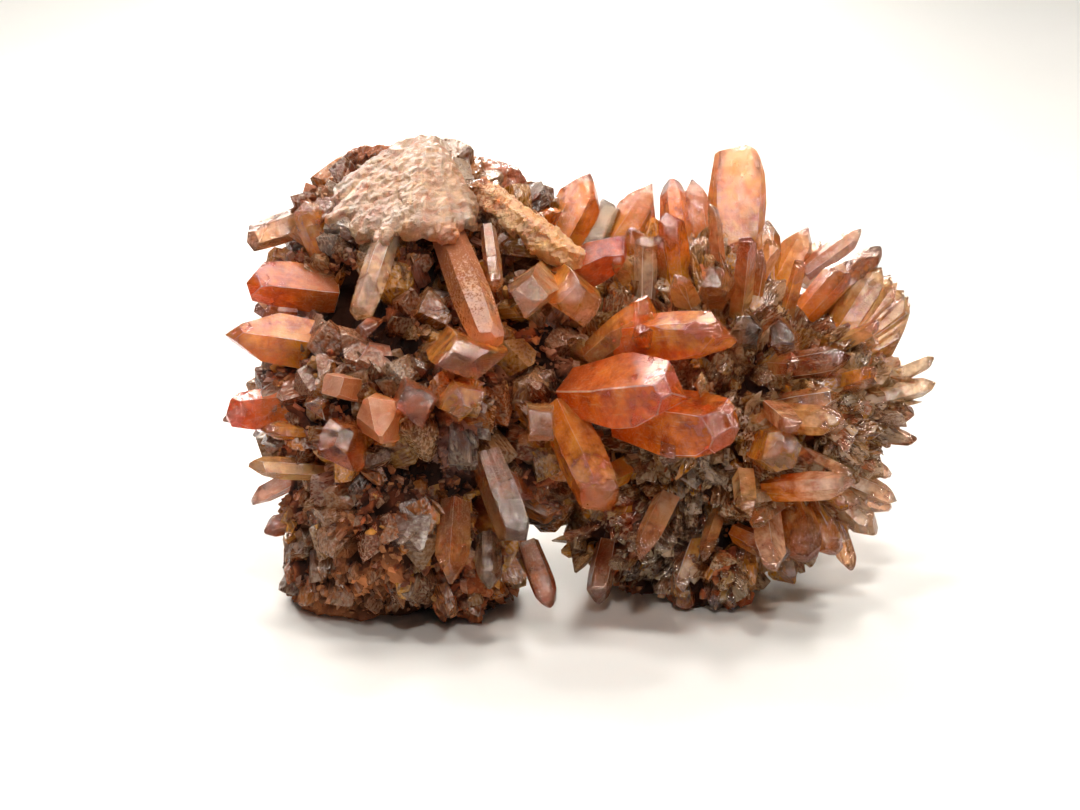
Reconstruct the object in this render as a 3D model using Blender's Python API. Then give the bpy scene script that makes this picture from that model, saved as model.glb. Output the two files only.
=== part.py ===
# A creedite cluster: a two-lobed rock base crusted with small crystals, and the big crystals on it.
#
# Every crystal is described as it is seen from the specimen's show side, in millimetres:
# across runs to the right from the middle of the cluster, up from its lowest point, and away
# from the onlooker. The onlooker looks down by VIEW_TILT from EYE_DISTANCE off, so what is
# further away is spread out a little. The solids are cut in millimetres and scaled to metres last.

import math
import random

import bmesh
import bpy
from mathutils import Matrix, Vector, noise

# Driving dimensions in millimetres
CLUSTER_WIDTH = 90.0
GAP = 0.3
VIEW_TILT = math.radians(20.0)
EYE_DISTANCE = 500.0
EYE_ACROSS = -4.5
EYE_UP = 28.4
# Where the point across 0, up 0, away 0 lies in the part's own frame
BASE_POINT = Vector((-0.57, -15.04, -3.4))
METRES_IN_MM = 0.001
# Small crystals end at least this high over the resting plane
LEAST_CLEARANCE = 3.0
# Points nearer than this are made one after a cut
MERGE_STEP = 2e-3
ROCK_ROUGHNESS = 0.2
ROCK_DETAIL = 2

ACROSS = Vector((1, 0, 0))
RISE = Vector((0, math.sin(VIEW_TILT), math.cos(VIEW_TILT)))
AWAY = Vector((0, math.cos(VIEW_TILT), -math.sin(VIEW_TILT)))

# Crystal ends: each face is its compass angle round the axis (0 right of the pointing direction,
# 90 away from the onlooker), its slope from square-on, and its setback in crystal widths
POINTED = ((0, 60, 0), (180, 60, 0), (270, 48, 0.05), (90, 48, 0.05))
CHISEL = ((270, 54, 0), (90, 54, 0), (15, 30, 0.10))
BLUNT = ((270, 40, 0), (10, 30, 0.04), (170, 22, 0.02))
SQUARE = ((270, 20, 0), (0, 15, 0))
ROUNDED = ((0, 66, 0.16), (180, 66, 0.16), (0, 34, 0), (180, 34, 0), (270, 50, 0.12), (90, 50, 0.12))

# Colours of the solids
CLAY = (0.36, 0.15, 0.09, 1.0)
BROWN = (0.40, 0.19, 0.10, 1.0)
ORANGE = (0.70, 0.24, 0.04, 1.0)
AMBER = (0.66, 0.34, 0.08, 1.0)
HONEY = (0.72, 0.50, 0.22, 1.0)
CREAM = (0.70, 0.52, 0.38, 1.0)
MAUVE = (0.46, 0.31, 0.27, 1.0)
OLIVE = (0.22, 0.15, 0.05, 1.0)


def seen(across, up, away):
    """The point of the part's frame that is seen at a place on the show side."""
    spread = 1 + away / EYE_DISTANCE
    right = EYE_ACROSS + (across - EYE_ACROSS) * spread
    above = EYE_UP + (up - EYE_UP) * spread
    return ACROSS * right + RISE * above + AWAY * away + BASE_POINT


def crystal(root, tip, width, thick, end=POINTED, roll=0, lean=0.0, foot=0.85, sides=6):
    """Names one crystal's measures: its root and tip as seen, its width and its thickness."""
    return dict(root=root, tip=tip, width=width, thick=thick, end=end, roll=roll, lean=lean, foot=foot,
                sides=sides)


def add_crystal(bm, spec, grow=0.0):
    """Adds a prism with its end cut by sloping faces, swollen all over by grow."""
    root = seen(*spec["root"])
    tip = seen(*spec["tip"])
    axis = (tip - root).normalized()
    length = (tip - root).length
    side = AWAY.cross(axis)
    if side.length < 0.2:
        side = RISE.cross(axis)
    side.normalize()
    side.rotate(Matrix.Rotation(math.radians(spec["roll"]), 3, axis))
    frame = Matrix((side, axis.cross(side), axis)).transposed().to_4x4()
    frame.translation = root

    prism = bmesh.new()
    bmesh.ops.create_cone(prism, cap_ends=True, segments=spec["sides"], radius1=0.5 * spec["foot"],
                          radius2=0.5, depth=length + 2 * grow)
    bmesh.ops.rotate(prism, verts=prism.verts, matrix=Matrix.Rotation(math.pi / 2, 3, "Z"))
    # The side edges need more room than the flats, because they are sharper
    half_width = 0.5 * spec["width"] + 1.8 * grow
    half_thick = 0.5 * spec["thick"] + 1.1 * grow
    corner_to_flat = math.cos(math.pi / 6) if spec["sides"] == 6 else 1
    scale = (2 * half_width, 2 * half_thick / corner_to_flat, 1)
    bmesh.ops.scale(prism, verts=prism.verts, vec=scale)
    bmesh.ops.translate(prism, verts=prism.verts, vec=(0, 0, length / 2))
    peak = Vector((spec["lean"] * spec["width"] / 2, 0, length))
    for compass, slope, setback in spec["end"]:
        angle = math.radians(compass)
        tilt = math.radians(slope)
        normal = Vector((math.cos(angle), math.sin(angle), 0)) * math.sin(tilt)
        normal.z = math.cos(tilt)
        on_face = peak - Vector((0, 0, setback * spec["width"])) + normal * grow
        slice_off(prism, on_face, normal)
    prism.transform(frame)
    merge(bm, prism)


def slice_off(bm, point, normal):
    """Cuts away what lies beyond a plane and closes the cut with one flat face."""
    geometry = bm.verts[:] + bm.edges[:] + bm.faces[:]
    cut = bmesh.ops.bisect_plane(bm, geom=geometry, dist=1e-5, plane_co=point, plane_no=normal,
                                 clear_outer=True)
    rim = [edge for edge in cut["geom_cut"] if isinstance(edge, bmesh.types.BMEdge)]
    if rim:
        bmesh.ops.contextual_create(bm, geom=rim)


def merge(bm, other):
    """Moves the other mesh's shells into bm."""
    other.normal_update()
    bmesh.ops.recalc_face_normals(other, faces=other.faces)
    mesh = bpy.data.meshes.new("shell")
    other.to_mesh(mesh)
    other.free()
    bm.from_mesh(mesh)
    bpy.data.meshes.remove(mesh)


def add_lump(bm, centre, reach):
    """Adds a rough rounded lump: an icosphere stretched to its reach across, up and away."""
    lump = bmesh.new()
    bmesh.ops.create_icosphere(lump, subdivisions=ROCK_DETAIL, radius=1.0)
    for vert in lump.verts:
        direction = vert.co.normalized()
        place = Vector(centre) + Vector(r * d for r, d in zip(reach, direction))
        swell = 1 + ROCK_ROUGHNESS * noise.noise(place * 0.23)
        vert.co = seen(*(c + r * d * swell for c, r, d in zip(centre, reach, direction)))
    merge(bm, lump)


def make_object(name, bm, collection, colour=None):
    """Turns a mesh into an object of its own, with its own material where it has a colour."""
    mesh = bpy.data.meshes.new(name)
    bm.to_mesh(mesh)
    bm.free()
    thing = bpy.data.objects.new(name, mesh)
    collection.objects.link(thing)
    if colour:
        material = bpy.data.materials.new(name + "_material")
        material.use_nodes = True
        shader = material.node_tree.nodes["Principled BSDF"]
        shader.inputs["Base Color"].default_value = colour
        shader.inputs["Roughness"].default_value = 0.9 if colour == CLAY else 0.25
        shader.inputs["Metallic"].default_value = 0.0
        mesh.materials.append(material)
    else:
        thing.hide_render = True
        thing.display_type = "WIRE"
    return thing


def combine(thing, cutter, operation):
    """Joins or cuts one object by another, and keeps the single body that is left."""
    modifier = thing.modifiers.new(operation.lower(), "BOOLEAN")
    modifier.operation = operation
    modifier.solver = "EXACT"
    modifier.use_self = True
    modifier.object = cutter
    evaluated = thing.evaluated_get(bpy.context.evaluated_depsgraph_get())
    result = bpy.data.meshes.new_from_object(evaluated)
    thing.modifiers.remove(modifier)
    bm = bmesh.new()
    bm.from_mesh(result)
    bmesh.ops.remove_doubles(bm, verts=bm.verts, dist=MERGE_STEP)
    bmesh.ops.dissolve_degenerate(bm, edges=bm.edges, dist=MERGE_STEP)
    keep_largest_body(bm)
    bm.to_mesh(thing.data)
    bm.free()
    bpy.data.meshes.remove(result)


def keep_largest_body(bm):
    """Removes the crumbs that a cut leaves beside the main body."""
    waiting = set(bm.verts)
    bodies = []
    while waiting:
        body = {waiting.pop()}
        edge_of_search = set(body)
        while edge_of_search:
            linked = {e.other_vert(v) for v in edge_of_search for e in v.link_edges}
            edge_of_search = linked - body
            body |= edge_of_search
        waiting -= body
        bodies.append(body)
    bodies.sort(key=lambda body: sum(face.calc_area() for v in body for face in v.link_faces))
    crumbs = [vert for body in bodies[:-1] for vert in body]
    bmesh.ops.delete(bm, geom=crumbs, context="VERTS")


def bounds(thing):
    """The lowest and highest corner of an object."""
    points = [vert.co for vert in thing.data.vertices]
    return [Vector(pick(point[i] for point in points) for i in range(3)) for pick in (min, max)]


def near(thing, other):
    """Whether two objects' boxes come within a gap of each other."""
    low, high = bounds(thing)
    other_low, other_high = bounds(other)
    return all(low[i] - GAP < other_high[i] and other_low[i] - GAP < high[i] for i in range(3))


# The rock base: lumps as centre and reach, each across, up and away
LUMPS = (
    ((-22, 29, 1), (17.5, 15, 18)),
    ((-22.5, 14, 0), (14.5, 13.5, 16)),
    ((-29, 9, 0), (7.5, 8, 11)),
    ((-14, 8.5, -1), (8.5, 8, 10)),
    ((-22, 45, 4), (15, 10, 13)),
    ((-27, 51, 4), (8.5, 6.5, 9)),
    ((-18, 52, 3), (10, 8, 9)),
    ((-9, 50, 4), (7.5, 6.5, 8)),
    ((-4, 31, 3), (9, 16, 13)),
    ((17, 29, 4), (15, 16, 16)),
    ((13, 40, 6), (12, 9, 11)),
    ((29, 29, 4), (9.5, 11.5, 11)),
    ((24, 17, 3), (9.5, 8, 9)),
    ((9, 14, 3), (9.5, 9, 9)),
    ((17, 8, 1), (6.5, 7, 7)),
)
HOLLOWS = (
    ((-27.5, 41, -16), (7, 8, 7.5)),
    ((3.5, 11, -11), (4.5, 4.5, 6)),
)


# Small crystals over each lobe: how many, the lobe's centre and reach, and their lengths and widths
DRUSE = (
    (75, (-22, 30, 3), (17, 28, 17), (4.6, 7.4), (3.4, 5.6)),
    (78, (17, 29, 4), (19, 20, 17), (7.0, 11.0), (2.6, 4.2)),
)
CHISEL_SMALL = ((0, 56, 0), (180, 44, 0))
# The small crystals start this share of a lobe's reach from its centre
DRUSE_DEPTH = 0.86


def small_crystals():
    """Seeded small crystals that radiate from the two lobes' centres."""
    pick = random.Random(41)
    for count, centre, reach, lengths, widths in DRUSE:
        for number in range(count):
            height = 1 - 2 * (number + 0.5) / count
            turn = number * math.pi * (3 - math.sqrt(5))
            ring = math.sqrt(1 - height * height)
            direction = Vector((ring * math.cos(turn), height, ring * math.sin(turn)))
            direction += Vector(pick.uniform(-0.12, 0.12) for axis in range(3))
            start = Vector(centre) + Vector(d * r * DRUSE_DEPTH for d, r in zip(direction, reach))
            outward = Vector(d / r for d, r in zip(direction, reach)).normalized()
            outward += Vector(pick.uniform(-0.35, 0.35) for axis in range(3))
            tip = start + outward * pick.uniform(*lengths)
            width = pick.uniform(*widths)
            if seen(*tip).z > LEAST_CLEARANCE:
                yield crystal(start, tip, width, width * pick.uniform(0.5, 0.9), CHISEL_SMALL,
                              roll=pick.uniform(0, 180), foot=1.0, sides=4)


# Measured crystals that are too small to stand as pieces of their own, fused to the rock base
FUSED = (
    crystal((-31.5, 47, -3), (-34.3, 54, -5), 3.6, 2.6, BLUNT),
    crystal((-31.5, 52, 5), (-34, 56.6, 4), 3.2, 3.2, ROUNDED),
    crystal((-11, 50.5, -6), (-10, 43, -13), 2.3, 2.2, BLUNT),
    crystal((-32, 24.8, -8), (-39.6, 25.4, -11), 2.6, 3.2, POINTED),
    crystal((8.6, 41.0, -3), (8.8, 49.6, -4), 3.2, 3.2, BLUNT),
    crystal((22.2, 41.0, -3), (23.2, 48.0, -6), 2.1, 1.8, POINTED),
    crystal((31, 20.5, 1), (40.6, 16.2, 2), 3.4, 3.2, ROUNDED),
    crystal((24.8, 14.0, 1), (27.2, 5.4, 0), 3.6, 3.2, ROUNDED),
    crystal((-6, 11, -5), (-3.0, 2.9, -9), 3.5, 3.0, POINTED),
    crystal((4, 11, 0), (2.6, 4.0, -5), 3.6, 3.2, BLUNT),
    crystal((13, 9, 0), (13.6, 2.6, -3), 3.4, 3.2, BLUNT),
    crystal((18, 10, 0), (17.4, 2.4, -4), 2.6, 2.8, ROUNDED),
    crystal((19, 10, 0), (19.6, 2.4, -4), 2.8, 2.8, ROUNDED),
    crystal((20, 12.5, -4), (26.0, 9.6, -9), 3.2, 3.0, SQUARE),
    crystal((28.5, 22.6, -8), (34.6, 19.5, -14), 1.5, 1.2, POINTED),
)

CRYSTALS = {
    # The left lobe, from its top down
    "left_tongue": (AMBER, [crystal((-30, 52.8, 2), (-41.3, 48.8, 0), 3.0, 2.6, ROUNDED)]),
    "top_slab": (BROWN, [crystal((-19, 60.0, 7), (-29.8, 59.3, 5), 2.8, 6.5, ROUNDED)]),
    "dome_slab": (BROWN, [crystal((-15, 58.6, 6), (-4.8, 55.4, 5), 4.4, 7.5, ROUNDED)]),
    "crown_sheaf": (CREAM, [
        crystal((-24.0, 59.2, 3), (-31.5, 53.2, -5), 4.6, 4.4, BLUNT),
        crystal((-22.0, 60.4, 2), (-27.8, 51.0, -8), 5.0, 4.4, BLUNT),
        crystal((-20.5, 61.0, 2), (-23.4, 49.0, -10), 5.4, 4.6, BLUNT),
        crystal((-18.5, 61.2, 2), (-18.8, 50.6, -9), 5.0, 4.4, BLUNT),
        crystal((-17.0, 61.0, 2), (-14.2, 48.4, -10), 5.4, 4.6, BLUNT),
        crystal((-15.5, 60.4, 2), (-10.8, 51.4, -8), 4.6, 4.4, BLUNT)]),
    "long_ridge": (CREAM, [crystal((-13, 56, -3), (0.8, 46.0, -6), 3.2, 3.2, BLUNT)]),
    "netted_blade": (MAUVE, [crystal((-22.5, 53, -7), (-27.3, 39.2, -15), 3.8, 2.6, BLUNT)]),
    "centre_blade": (BROWN, [crystal((-16, 50, -8), (-10.6, 35.8, -18), 4.5, 3.2, ROUNDED)]),
    "pale_blocks": (HONEY, [
        crystal((-4, 44, -2), (-5.6, 41.5, -16), 6.0, 6.0, BLUNT),
        crystal((-2, 43.5, -2), (0.8, 40.5, -15), 6.0, 6.6, BLUNT)]),
    "left_block": (ORANGE, [crystal((-30, 44.3, -3), (-41.4, 46.0, -6), 7.0, 5.5, BLUNT)]),
    "left_point": (ORANGE, [crystal((-30, 35.2, -6), (-44.5, 37.6, -9), 7.2, 5.4, POINTED)]),
    "orange_lozenge": (ORANGE, [crystal((-31, 28.6, -7), (-43.9, 27.4, -10), 5.4, 5.0, ROUNDED)]),
    "low_pale_blade": (HONEY, [crystal((-31, 20.2, -7), (-41.3, 20.9, -10), 3.1, 3.4, POINTED)]),
    "smoky_block": (OLIVE, [crystal((-26.5, 24.2, -11), (-30.5, 23.4, -20), 7.0, 5.2, BLUNT)]),
    "rhomb_block": (CREAM, [crystal((-22.5, 27, -12), (-26.0, 26.2, -21), 5.6, 6.4, CHISEL, roll=30)]),
    "cream_block": (CREAM, [crystal((-26.5, 30.5, -11), (-30.5, 30.8, -19), 4.4, 4.2, BLUNT, roll=20)]),
    "brown_block": (BROWN, [crystal((-20, 29, -13), (-20.5, 28.6, -20.5), 6.0, 6.2, BLUNT)]),
    "upper_front_block": (AMBER, [
        crystal((-15, 36.0, -10), (-12.8, 33.6, -22), 9.6, 5.4, CHISEL, roll=90)]),
    "lower_front_block": (ORANGE, [crystal((-15, 29.8, -12), (-13.8, 28.6, -23), 7.2, 4.4, BLUNT, roll=8)]),
    "cube_block": (HONEY, [crystal((-4.5, 26.8, -8), (-4.4, 25.6, -17), 5.2, 6.0, SQUARE, roll=15)]),
    "olive_prism": (AMBER, [crystal((-11.2, 22, -11), (-7.2, 11.3, -18), 5.6, 4.5, BLUNT)]),
    "brown_point": (BROWN, [crystal((-15, 16.5, -12), (-15.7, 5.6, -16), 4.4, 3.6, POINTED)]),
    "smoky_prism": (OLIVE, [crystal((-11, 12, -10), (-10.8, 5.2, -14), 3.4, 3.0, POINTED)]),
    "hanging_amber": (AMBER, [crystal((-2.2, 28, -8), (3.6, 15.4, -15), 6.2, 5.4, BLUNT)]),
    # The right lobe, from its top down
    "amber_left_prism": (AMBER, [crystal((-3.2, 47, 3), (2.4, 58.1, 3), 4.6, 4.0, ROUNDED)]),
    "dark_olive_prism": (OLIVE, [crystal((0.5, 46, 7), (4.7, 53.5, 7), 4.2, 4.0, SQUARE)]),
    "pink_top_prism": (AMBER, [crystal((5, 48, 8), (9.9, 56.5, 8), 4.0, 3.6, ROUNDED)]),
    "twin_pillar": (BROWN, [
        crystal((13.2, 45, 6), (12.0, 57.5, 5), 3.6, 4.0, ROUNDED),
        crystal((15.8, 45, 7), (14.4, 57.2, 6), 3.6, 4.0, ROUNDED)]),
    "front_pillar": (AMBER, [crystal((12.8, 42.6, -3), (11.6, 52.3, -5), 3.9, 3.4, BLUNT)]),
    "slanted_block": (ORANGE, [crystal((-0.6, 44.5, -1), (6.6, 48.6, -6), 4.6, 4.0, CHISEL)]),
    "tall_prism": (AMBER, [crystal((20.3, 46, 6), (20.3, 61.2, 7), 7.0, 4.8, BLUNT, lean=0.3)]),
    "top_pair": (AMBER, [
        crystal((24.2, 43.5, 4), (24.0, 51.8, 4), 3.6, 3.2, POINTED),
        crystal((25.2, 43.5, 5), (29.5, 51.4, 5), 4.8, 4.0, ROUNDED)]),
    "upper_right_tip": (BROWN, [crystal((28.5, 45, 4), (35.9, 50.5, 4), 3.0, 3.0, POINTED)]),
    "twin_right_tips": (BROWN, [
        crystal((29.4, 39.6, 0), (38.4, 48.4, 1), 3.6, 3.6, POINTED),
        crystal((28.4, 39.8, -2), (34.6, 46.8, -4), 3.8, 3.6, POINTED)]),
    "yellow_fan": (HONEY, [
        crystal((32, 35.6, 0), (40.2, 45.6, 2), 4.6, 3.4, BLUNT),
        crystal((32, 35, 0), (43.0, 42.6, 2), 5.0, 3.6, BLUNT),
        crystal((32, 34.4, 0), (42.4, 38.6, 1), 4.6, 3.4, BLUNT)]),
    "pointed_pair": (HONEY, [
        crystal((33, 29.2, 1), (44.9, 34.4, 2), 3.0, 2.8, POINTED),
        crystal((33, 28.2, 0), (45.1, 31.2, 2), 3.2, 2.8, POINTED)]),
    "upper_orange_blade": (ORANGE, [crystal((5.5, 36.6, -9), (19.8, 37.0, -18), 6.4, 5.2, POINTED)]),
    "front_blades": (ORANGE, [
        crystal((-1.0, 30.0, -8), (12.2, 29.6, -21), 9.2, 6.4, BLUNT, foot=0.5),
        crystal((5.4, 27.4, -8), (19.9, 25.4, -20), 9.2, 6.0, ROUNDED, foot=0.7)]),
    "pale_yellow_blade": (HONEY, [crystal((2.0, 34.4, -7), (9.9, 41.0, -13), 5.2, 4.0, CHISEL)]),
    "tabular_blade": (HONEY, [crystal((17.4, 41.5, -4), (17.8, 43.8, -13), 5.2, 4.4, BLUNT)]),
    "eye_crystal": (MAUVE, [crystal((21.4, 37.0, -8), (21.4, 38.0, -16), 4.6, 4.2, BLUNT)]),
    "rimmed_blade": (MAUVE, [crystal((26.6, 36.4, -5), (25.6, 36.6, -14), 4.2, 5.0, BLUNT, roll=20)]),
    "brown_right_blades": (BROWN, [
        crystal((25.0, 32.8, -5), (34.8, 34.4, -9), 4.0, 3.2, POINTED),
        crystal((25.5, 31.6, -4), (38.0, 31.4, -7), 3.4, 3.2, POINTED)]),
    "tan_blades": (HONEY, [
        crystal((21.6, 27.2, -9), (33.9, 26.4, -14), 4.2, 3.0, POINTED),
        crystal((22.6, 27.8, -8), (33.4, 29.6, -12), 3.6, 3.0, POINTED)]),
    "low_orange_block": (ORANGE, [crystal((23.0, 23.4, -6), (26.0, 22.4, -17), 6.6, 5.2, BLUNT)]),
    "pointed_orange": (ORANGE, [crystal((23.8, 18.0, -8), (35.2, 18.9, -14), 3.9, 3.4, POINTED)]),
    "low_fingers": (MAUVE, [
        crystal((25.0, 17.2, -4), (20.2, 16.6, -14), 2.9, 2.8, ROUNDED),
        crystal((25.4, 16.0, -4), (22.2, 13.6, -13), 2.6, 2.4, ROUNDED)]),
    "striated_spray": (AMBER, [
        crystal((26.4, 17.5, -2), (28.8, 9.2, -8), 5.2, 4.0, BLUNT),
        crystal((28.2, 17.5, -1), (32.4, 9.8, -5), 3.8, 3.4, BLUNT)]),
    "low_right_tips": (MAUVE, [
        crystal((30.5, 19.0, 1), (37.9, 11.6, -2), 3.8, 3.2, ROUNDED),
        crystal((30.6, 18.6, 1.6), (34.6, 7.4, 2), 2.8, 2.4, POINTED)]),
    # The back, which the show side hides
    "back_left_blade": (BROWN, [crystal((-25, 35, 14), (-31, 40, 26), 6.2, 4.2, BLUNT)]),
    "back_left_point": (AMBER, [crystal((-15, 31, 14), (-13, 33, 28), 6.4, 5.0, POINTED)]),
    "back_low_point": (BROWN, [crystal((-27, 21, 11), (-34, 20, 22), 5.0, 4.4, POINTED)]),
    "back_top_prism": (CREAM, [crystal((-20, 49, 10), (-23, 56, 19), 5.0, 4.0, ROUNDED)]),
    "back_waist_blade": (AMBER, [crystal((-3, 34, 12), (0, 39, 26), 6.0, 4.2, POINTED)]),
    "back_right_blades": (HONEY, [
        crystal((15, 39, 12), (12, 49, 27), 5.2, 3.8, POINTED),
        crystal((17, 38, 12), (25, 44, 29), 6.4, 4.4, BLUNT)]),
    "back_right_point": (ORANGE, [crystal((16, 31, 14), (14, 33, 32), 6.2, 5.0, POINTED)]),
    "back_far_blade": (AMBER, [crystal((27, 27, 12), (37, 28, 24), 5.4, 4.0, POINTED)]),
    "back_low_blades": (MAUVE, [
        crystal((15.5, 24, 10), (25, 20.5, 25), 5.2, 4.2, BLUNT),
        crystal((13.5, 24, 10), (5, 20.5, 24), 4.6, 4.0, POINTED)]),
}


def build():
    """Builds the rock base with its sockets, and every big crystal standing in its own."""
    for thing in list(bpy.data.objects):
        bpy.data.objects.remove(thing, do_unlink=True)
    cluster = bpy.data.collections.new("creedite_cluster")
    cutters = bpy.data.collections.new("cutters")
    bpy.context.scene.collection.children.link(cluster)
    bpy.context.scene.collection.children.link(cutters)

    first = bmesh.new()
    add_lump(first, *LUMPS[0])
    matrix = make_object("matrix", first, cluster, CLAY)
    more = bmesh.new()
    for centre, reach in LUMPS[1:]:
        add_lump(more, centre, reach)
    for spec in (*FUSED, *small_crystals()):
        add_crystal(more, spec)
    combine(matrix, make_object("lumps_and_druse", more, cutters), "UNION")
    hollows = bmesh.new()
    for centre, reach in HOLLOWS:
        add_lump(hollows, centre, reach)
    combine(matrix, make_object("hollows", hollows, cutters), "DIFFERENCE")
    floor = bmesh.new()
    bmesh.ops.create_cube(floor, size=2 * CLUSTER_WIDTH)
    bmesh.ops.translate(floor, verts=floor.verts, vec=(0, 0, -CLUSTER_WIDTH))
    combine(matrix, make_object("floor", floor, cutters), "DIFFERENCE")

    standing = []
    sockets = bmesh.new()
    for name, (colour, members) in CRYSTALS.items():
        first = bmesh.new()
        add_crystal(first, members[0])
        thing = make_object(name, first, cluster, colour)
        if members[1:]:
            others = bmesh.new()
            for spec in members[1:]:
                add_crystal(others, spec)
            combine(thing, make_object(name + "_joined", others, cutters), "UNION")
        swollen = bmesh.new()
        for spec in members:
            add_crystal(swollen, spec, grow=GAP)
        for spec in members:
            add_crystal(sockets, spec, grow=GAP)
        room = make_object(name + "_room", swollen, cutters)
        for neighbour, neighbour_room in standing:
            if near(thing, neighbour):
                combine(thing, neighbour_room, "DIFFERENCE")
        standing.append((thing, room))
    combine(matrix, make_object("sockets", sockets, cutters), "DIFFERENCE")
    for thing in (*cluster.objects, *cutters.objects):
        thing.data.transform(Matrix.Scale(METRES_IN_MM, 4))


build()
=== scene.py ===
import math
import random

import bmesh
import bpy
import numpy as np
from mathutils import Matrix, Vector, noise
from mathutils.kdtree import KDTree


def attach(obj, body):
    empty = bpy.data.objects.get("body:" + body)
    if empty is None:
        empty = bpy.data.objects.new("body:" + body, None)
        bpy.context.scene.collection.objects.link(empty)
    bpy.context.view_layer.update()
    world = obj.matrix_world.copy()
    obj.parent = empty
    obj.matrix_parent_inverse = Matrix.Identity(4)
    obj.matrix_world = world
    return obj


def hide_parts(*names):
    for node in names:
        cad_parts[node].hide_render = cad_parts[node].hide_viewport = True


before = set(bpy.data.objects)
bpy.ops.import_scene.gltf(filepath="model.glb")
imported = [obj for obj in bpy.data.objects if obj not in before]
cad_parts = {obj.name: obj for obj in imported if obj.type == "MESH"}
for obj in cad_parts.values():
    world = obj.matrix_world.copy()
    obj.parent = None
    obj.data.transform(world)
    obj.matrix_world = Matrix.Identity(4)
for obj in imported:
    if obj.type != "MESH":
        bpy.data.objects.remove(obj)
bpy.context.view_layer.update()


# The table and the light
# The cluster rests on a pale table in a light tent that is brightest behind and above it. Soft
# lamps hang round it, and small hard ones put the glints on the crystal faces. The eye looks
# down on its show side from half a metre.

MM = 0.001
VIEW_TILT = math.radians(20)
EYE_DISTANCE = 500
EYE_ACROSS = -4.5
EYE_UP = 28.4
BASE_POINT = np.array((-0.57, -15.04, -3.4))
ACROSS = np.array((1, 0, 0))
RISE = np.array((0, math.sin(VIEW_TILT), math.cos(VIEW_TILT)))
AWAY = np.array((0, math.cos(VIEW_TILT), -math.sin(VIEW_TILT)))
SEEN_WIDTH = 135
SENSOR_WIDTH = 36


def seen(places):
    """Where places given as across, up and away on the show side lie in the part's frame, in mm."""
    places = np.asarray(places, float)
    away = places[..., 2:]
    spread = 1 + away / EYE_DISTANCE
    right = EYE_ACROSS + (places[..., 0:1] - EYE_ACROSS) * spread
    above = EYE_UP + (places[..., 1:2] - EYE_UP) * spread
    return right * ACROSS + above * RISE + away * AWAY + BASE_POINT


def aim(thing, place, target):
    """Puts a lamp or the camera at a place in millimetres, looking at a target."""
    thing.location = Vector(place) * MM
    thing.rotation_euler = (Vector(target) - Vector(place)).to_track_quat("-Z", "Y").to_euler()
    bpy.context.scene.collection.objects.link(thing)


picture_centre = seen((EYE_ACROSS, EYE_UP, 0))
camera = bpy.data.objects.new("camera", bpy.data.cameras.new("camera"))
camera.data.sensor_width = SENSOR_WIDTH
camera.data.lens = SENSOR_WIDTH * EYE_DISTANCE / SEEN_WIDTH
camera.data.clip_start = 0.01
aim(camera, picture_centre - EYE_DISTANCE * AWAY, picture_centre)
bpy.context.scene.camera = camera

# The height angles at which the lamps hang, in degrees, and their breadths in millimetres
SOFT_CLIMBS = np.linspace(42, 82, 7)
SOFT_BREADTH = 50
SOFT_WATTS = 0.50
GLINT_CLIMBS = np.linspace(16, 74, 12)
GLINT_BREADTH = 76
GLINT_WATTS = 1.0
GLINT_START = 90
LAMP_TURN = 137.5
LAMP_DISTANCE = 480
LIT_POINT = (0, 0, 25)
LAMP_COLOUR = (1.0, 0.95, 0.87)


def hang(name, breadth, watts, climb, turn, glint=True):
    """Hangs a round lamp at a height angle and a turn round the cluster, in degrees. A glint lamp
    shows in reflections only."""
    lamp = bpy.data.lights.new(name, "AREA")
    lamp.shape = "DISK"
    lamp.size = breadth * MM
    lamp.energy = watts
    lamp.color = LAMP_COLOUR
    level = LAMP_DISTANCE * math.cos(math.radians(climb))
    place = (level * math.cos(math.radians(turn)), level * math.sin(math.radians(turn)),
             LAMP_DISTANCE * math.sin(math.radians(climb)))
    thing = bpy.data.objects.new(name, lamp)
    thing.visible_diffuse = not glint
    thing.visible_transmission = not glint
    aim(thing, place, LIT_POINT)


for number, climb in enumerate(SOFT_CLIMBS):
    hang(f"soft_lamp_{number}", SOFT_BREADTH, SOFT_WATTS, climb, LAMP_TURN * number, glint=False)
for number, climb in enumerate(GLINT_CLIMBS):
    hang(f"glint_lamp_{number}", GLINT_BREADTH, GLINT_WATTS, climb, GLINT_START + LAMP_TURN * number)

paths = bpy.context.scene.cycles
paths.max_bounces = 5
paths.diffuse_bounces = 2
paths.glossy_bounces = 2
paths.transmission_bounces = 4
paths.transparent_max_bounces = 4
bpy.context.scene.view_settings.view_transform = "Standard"


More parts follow.
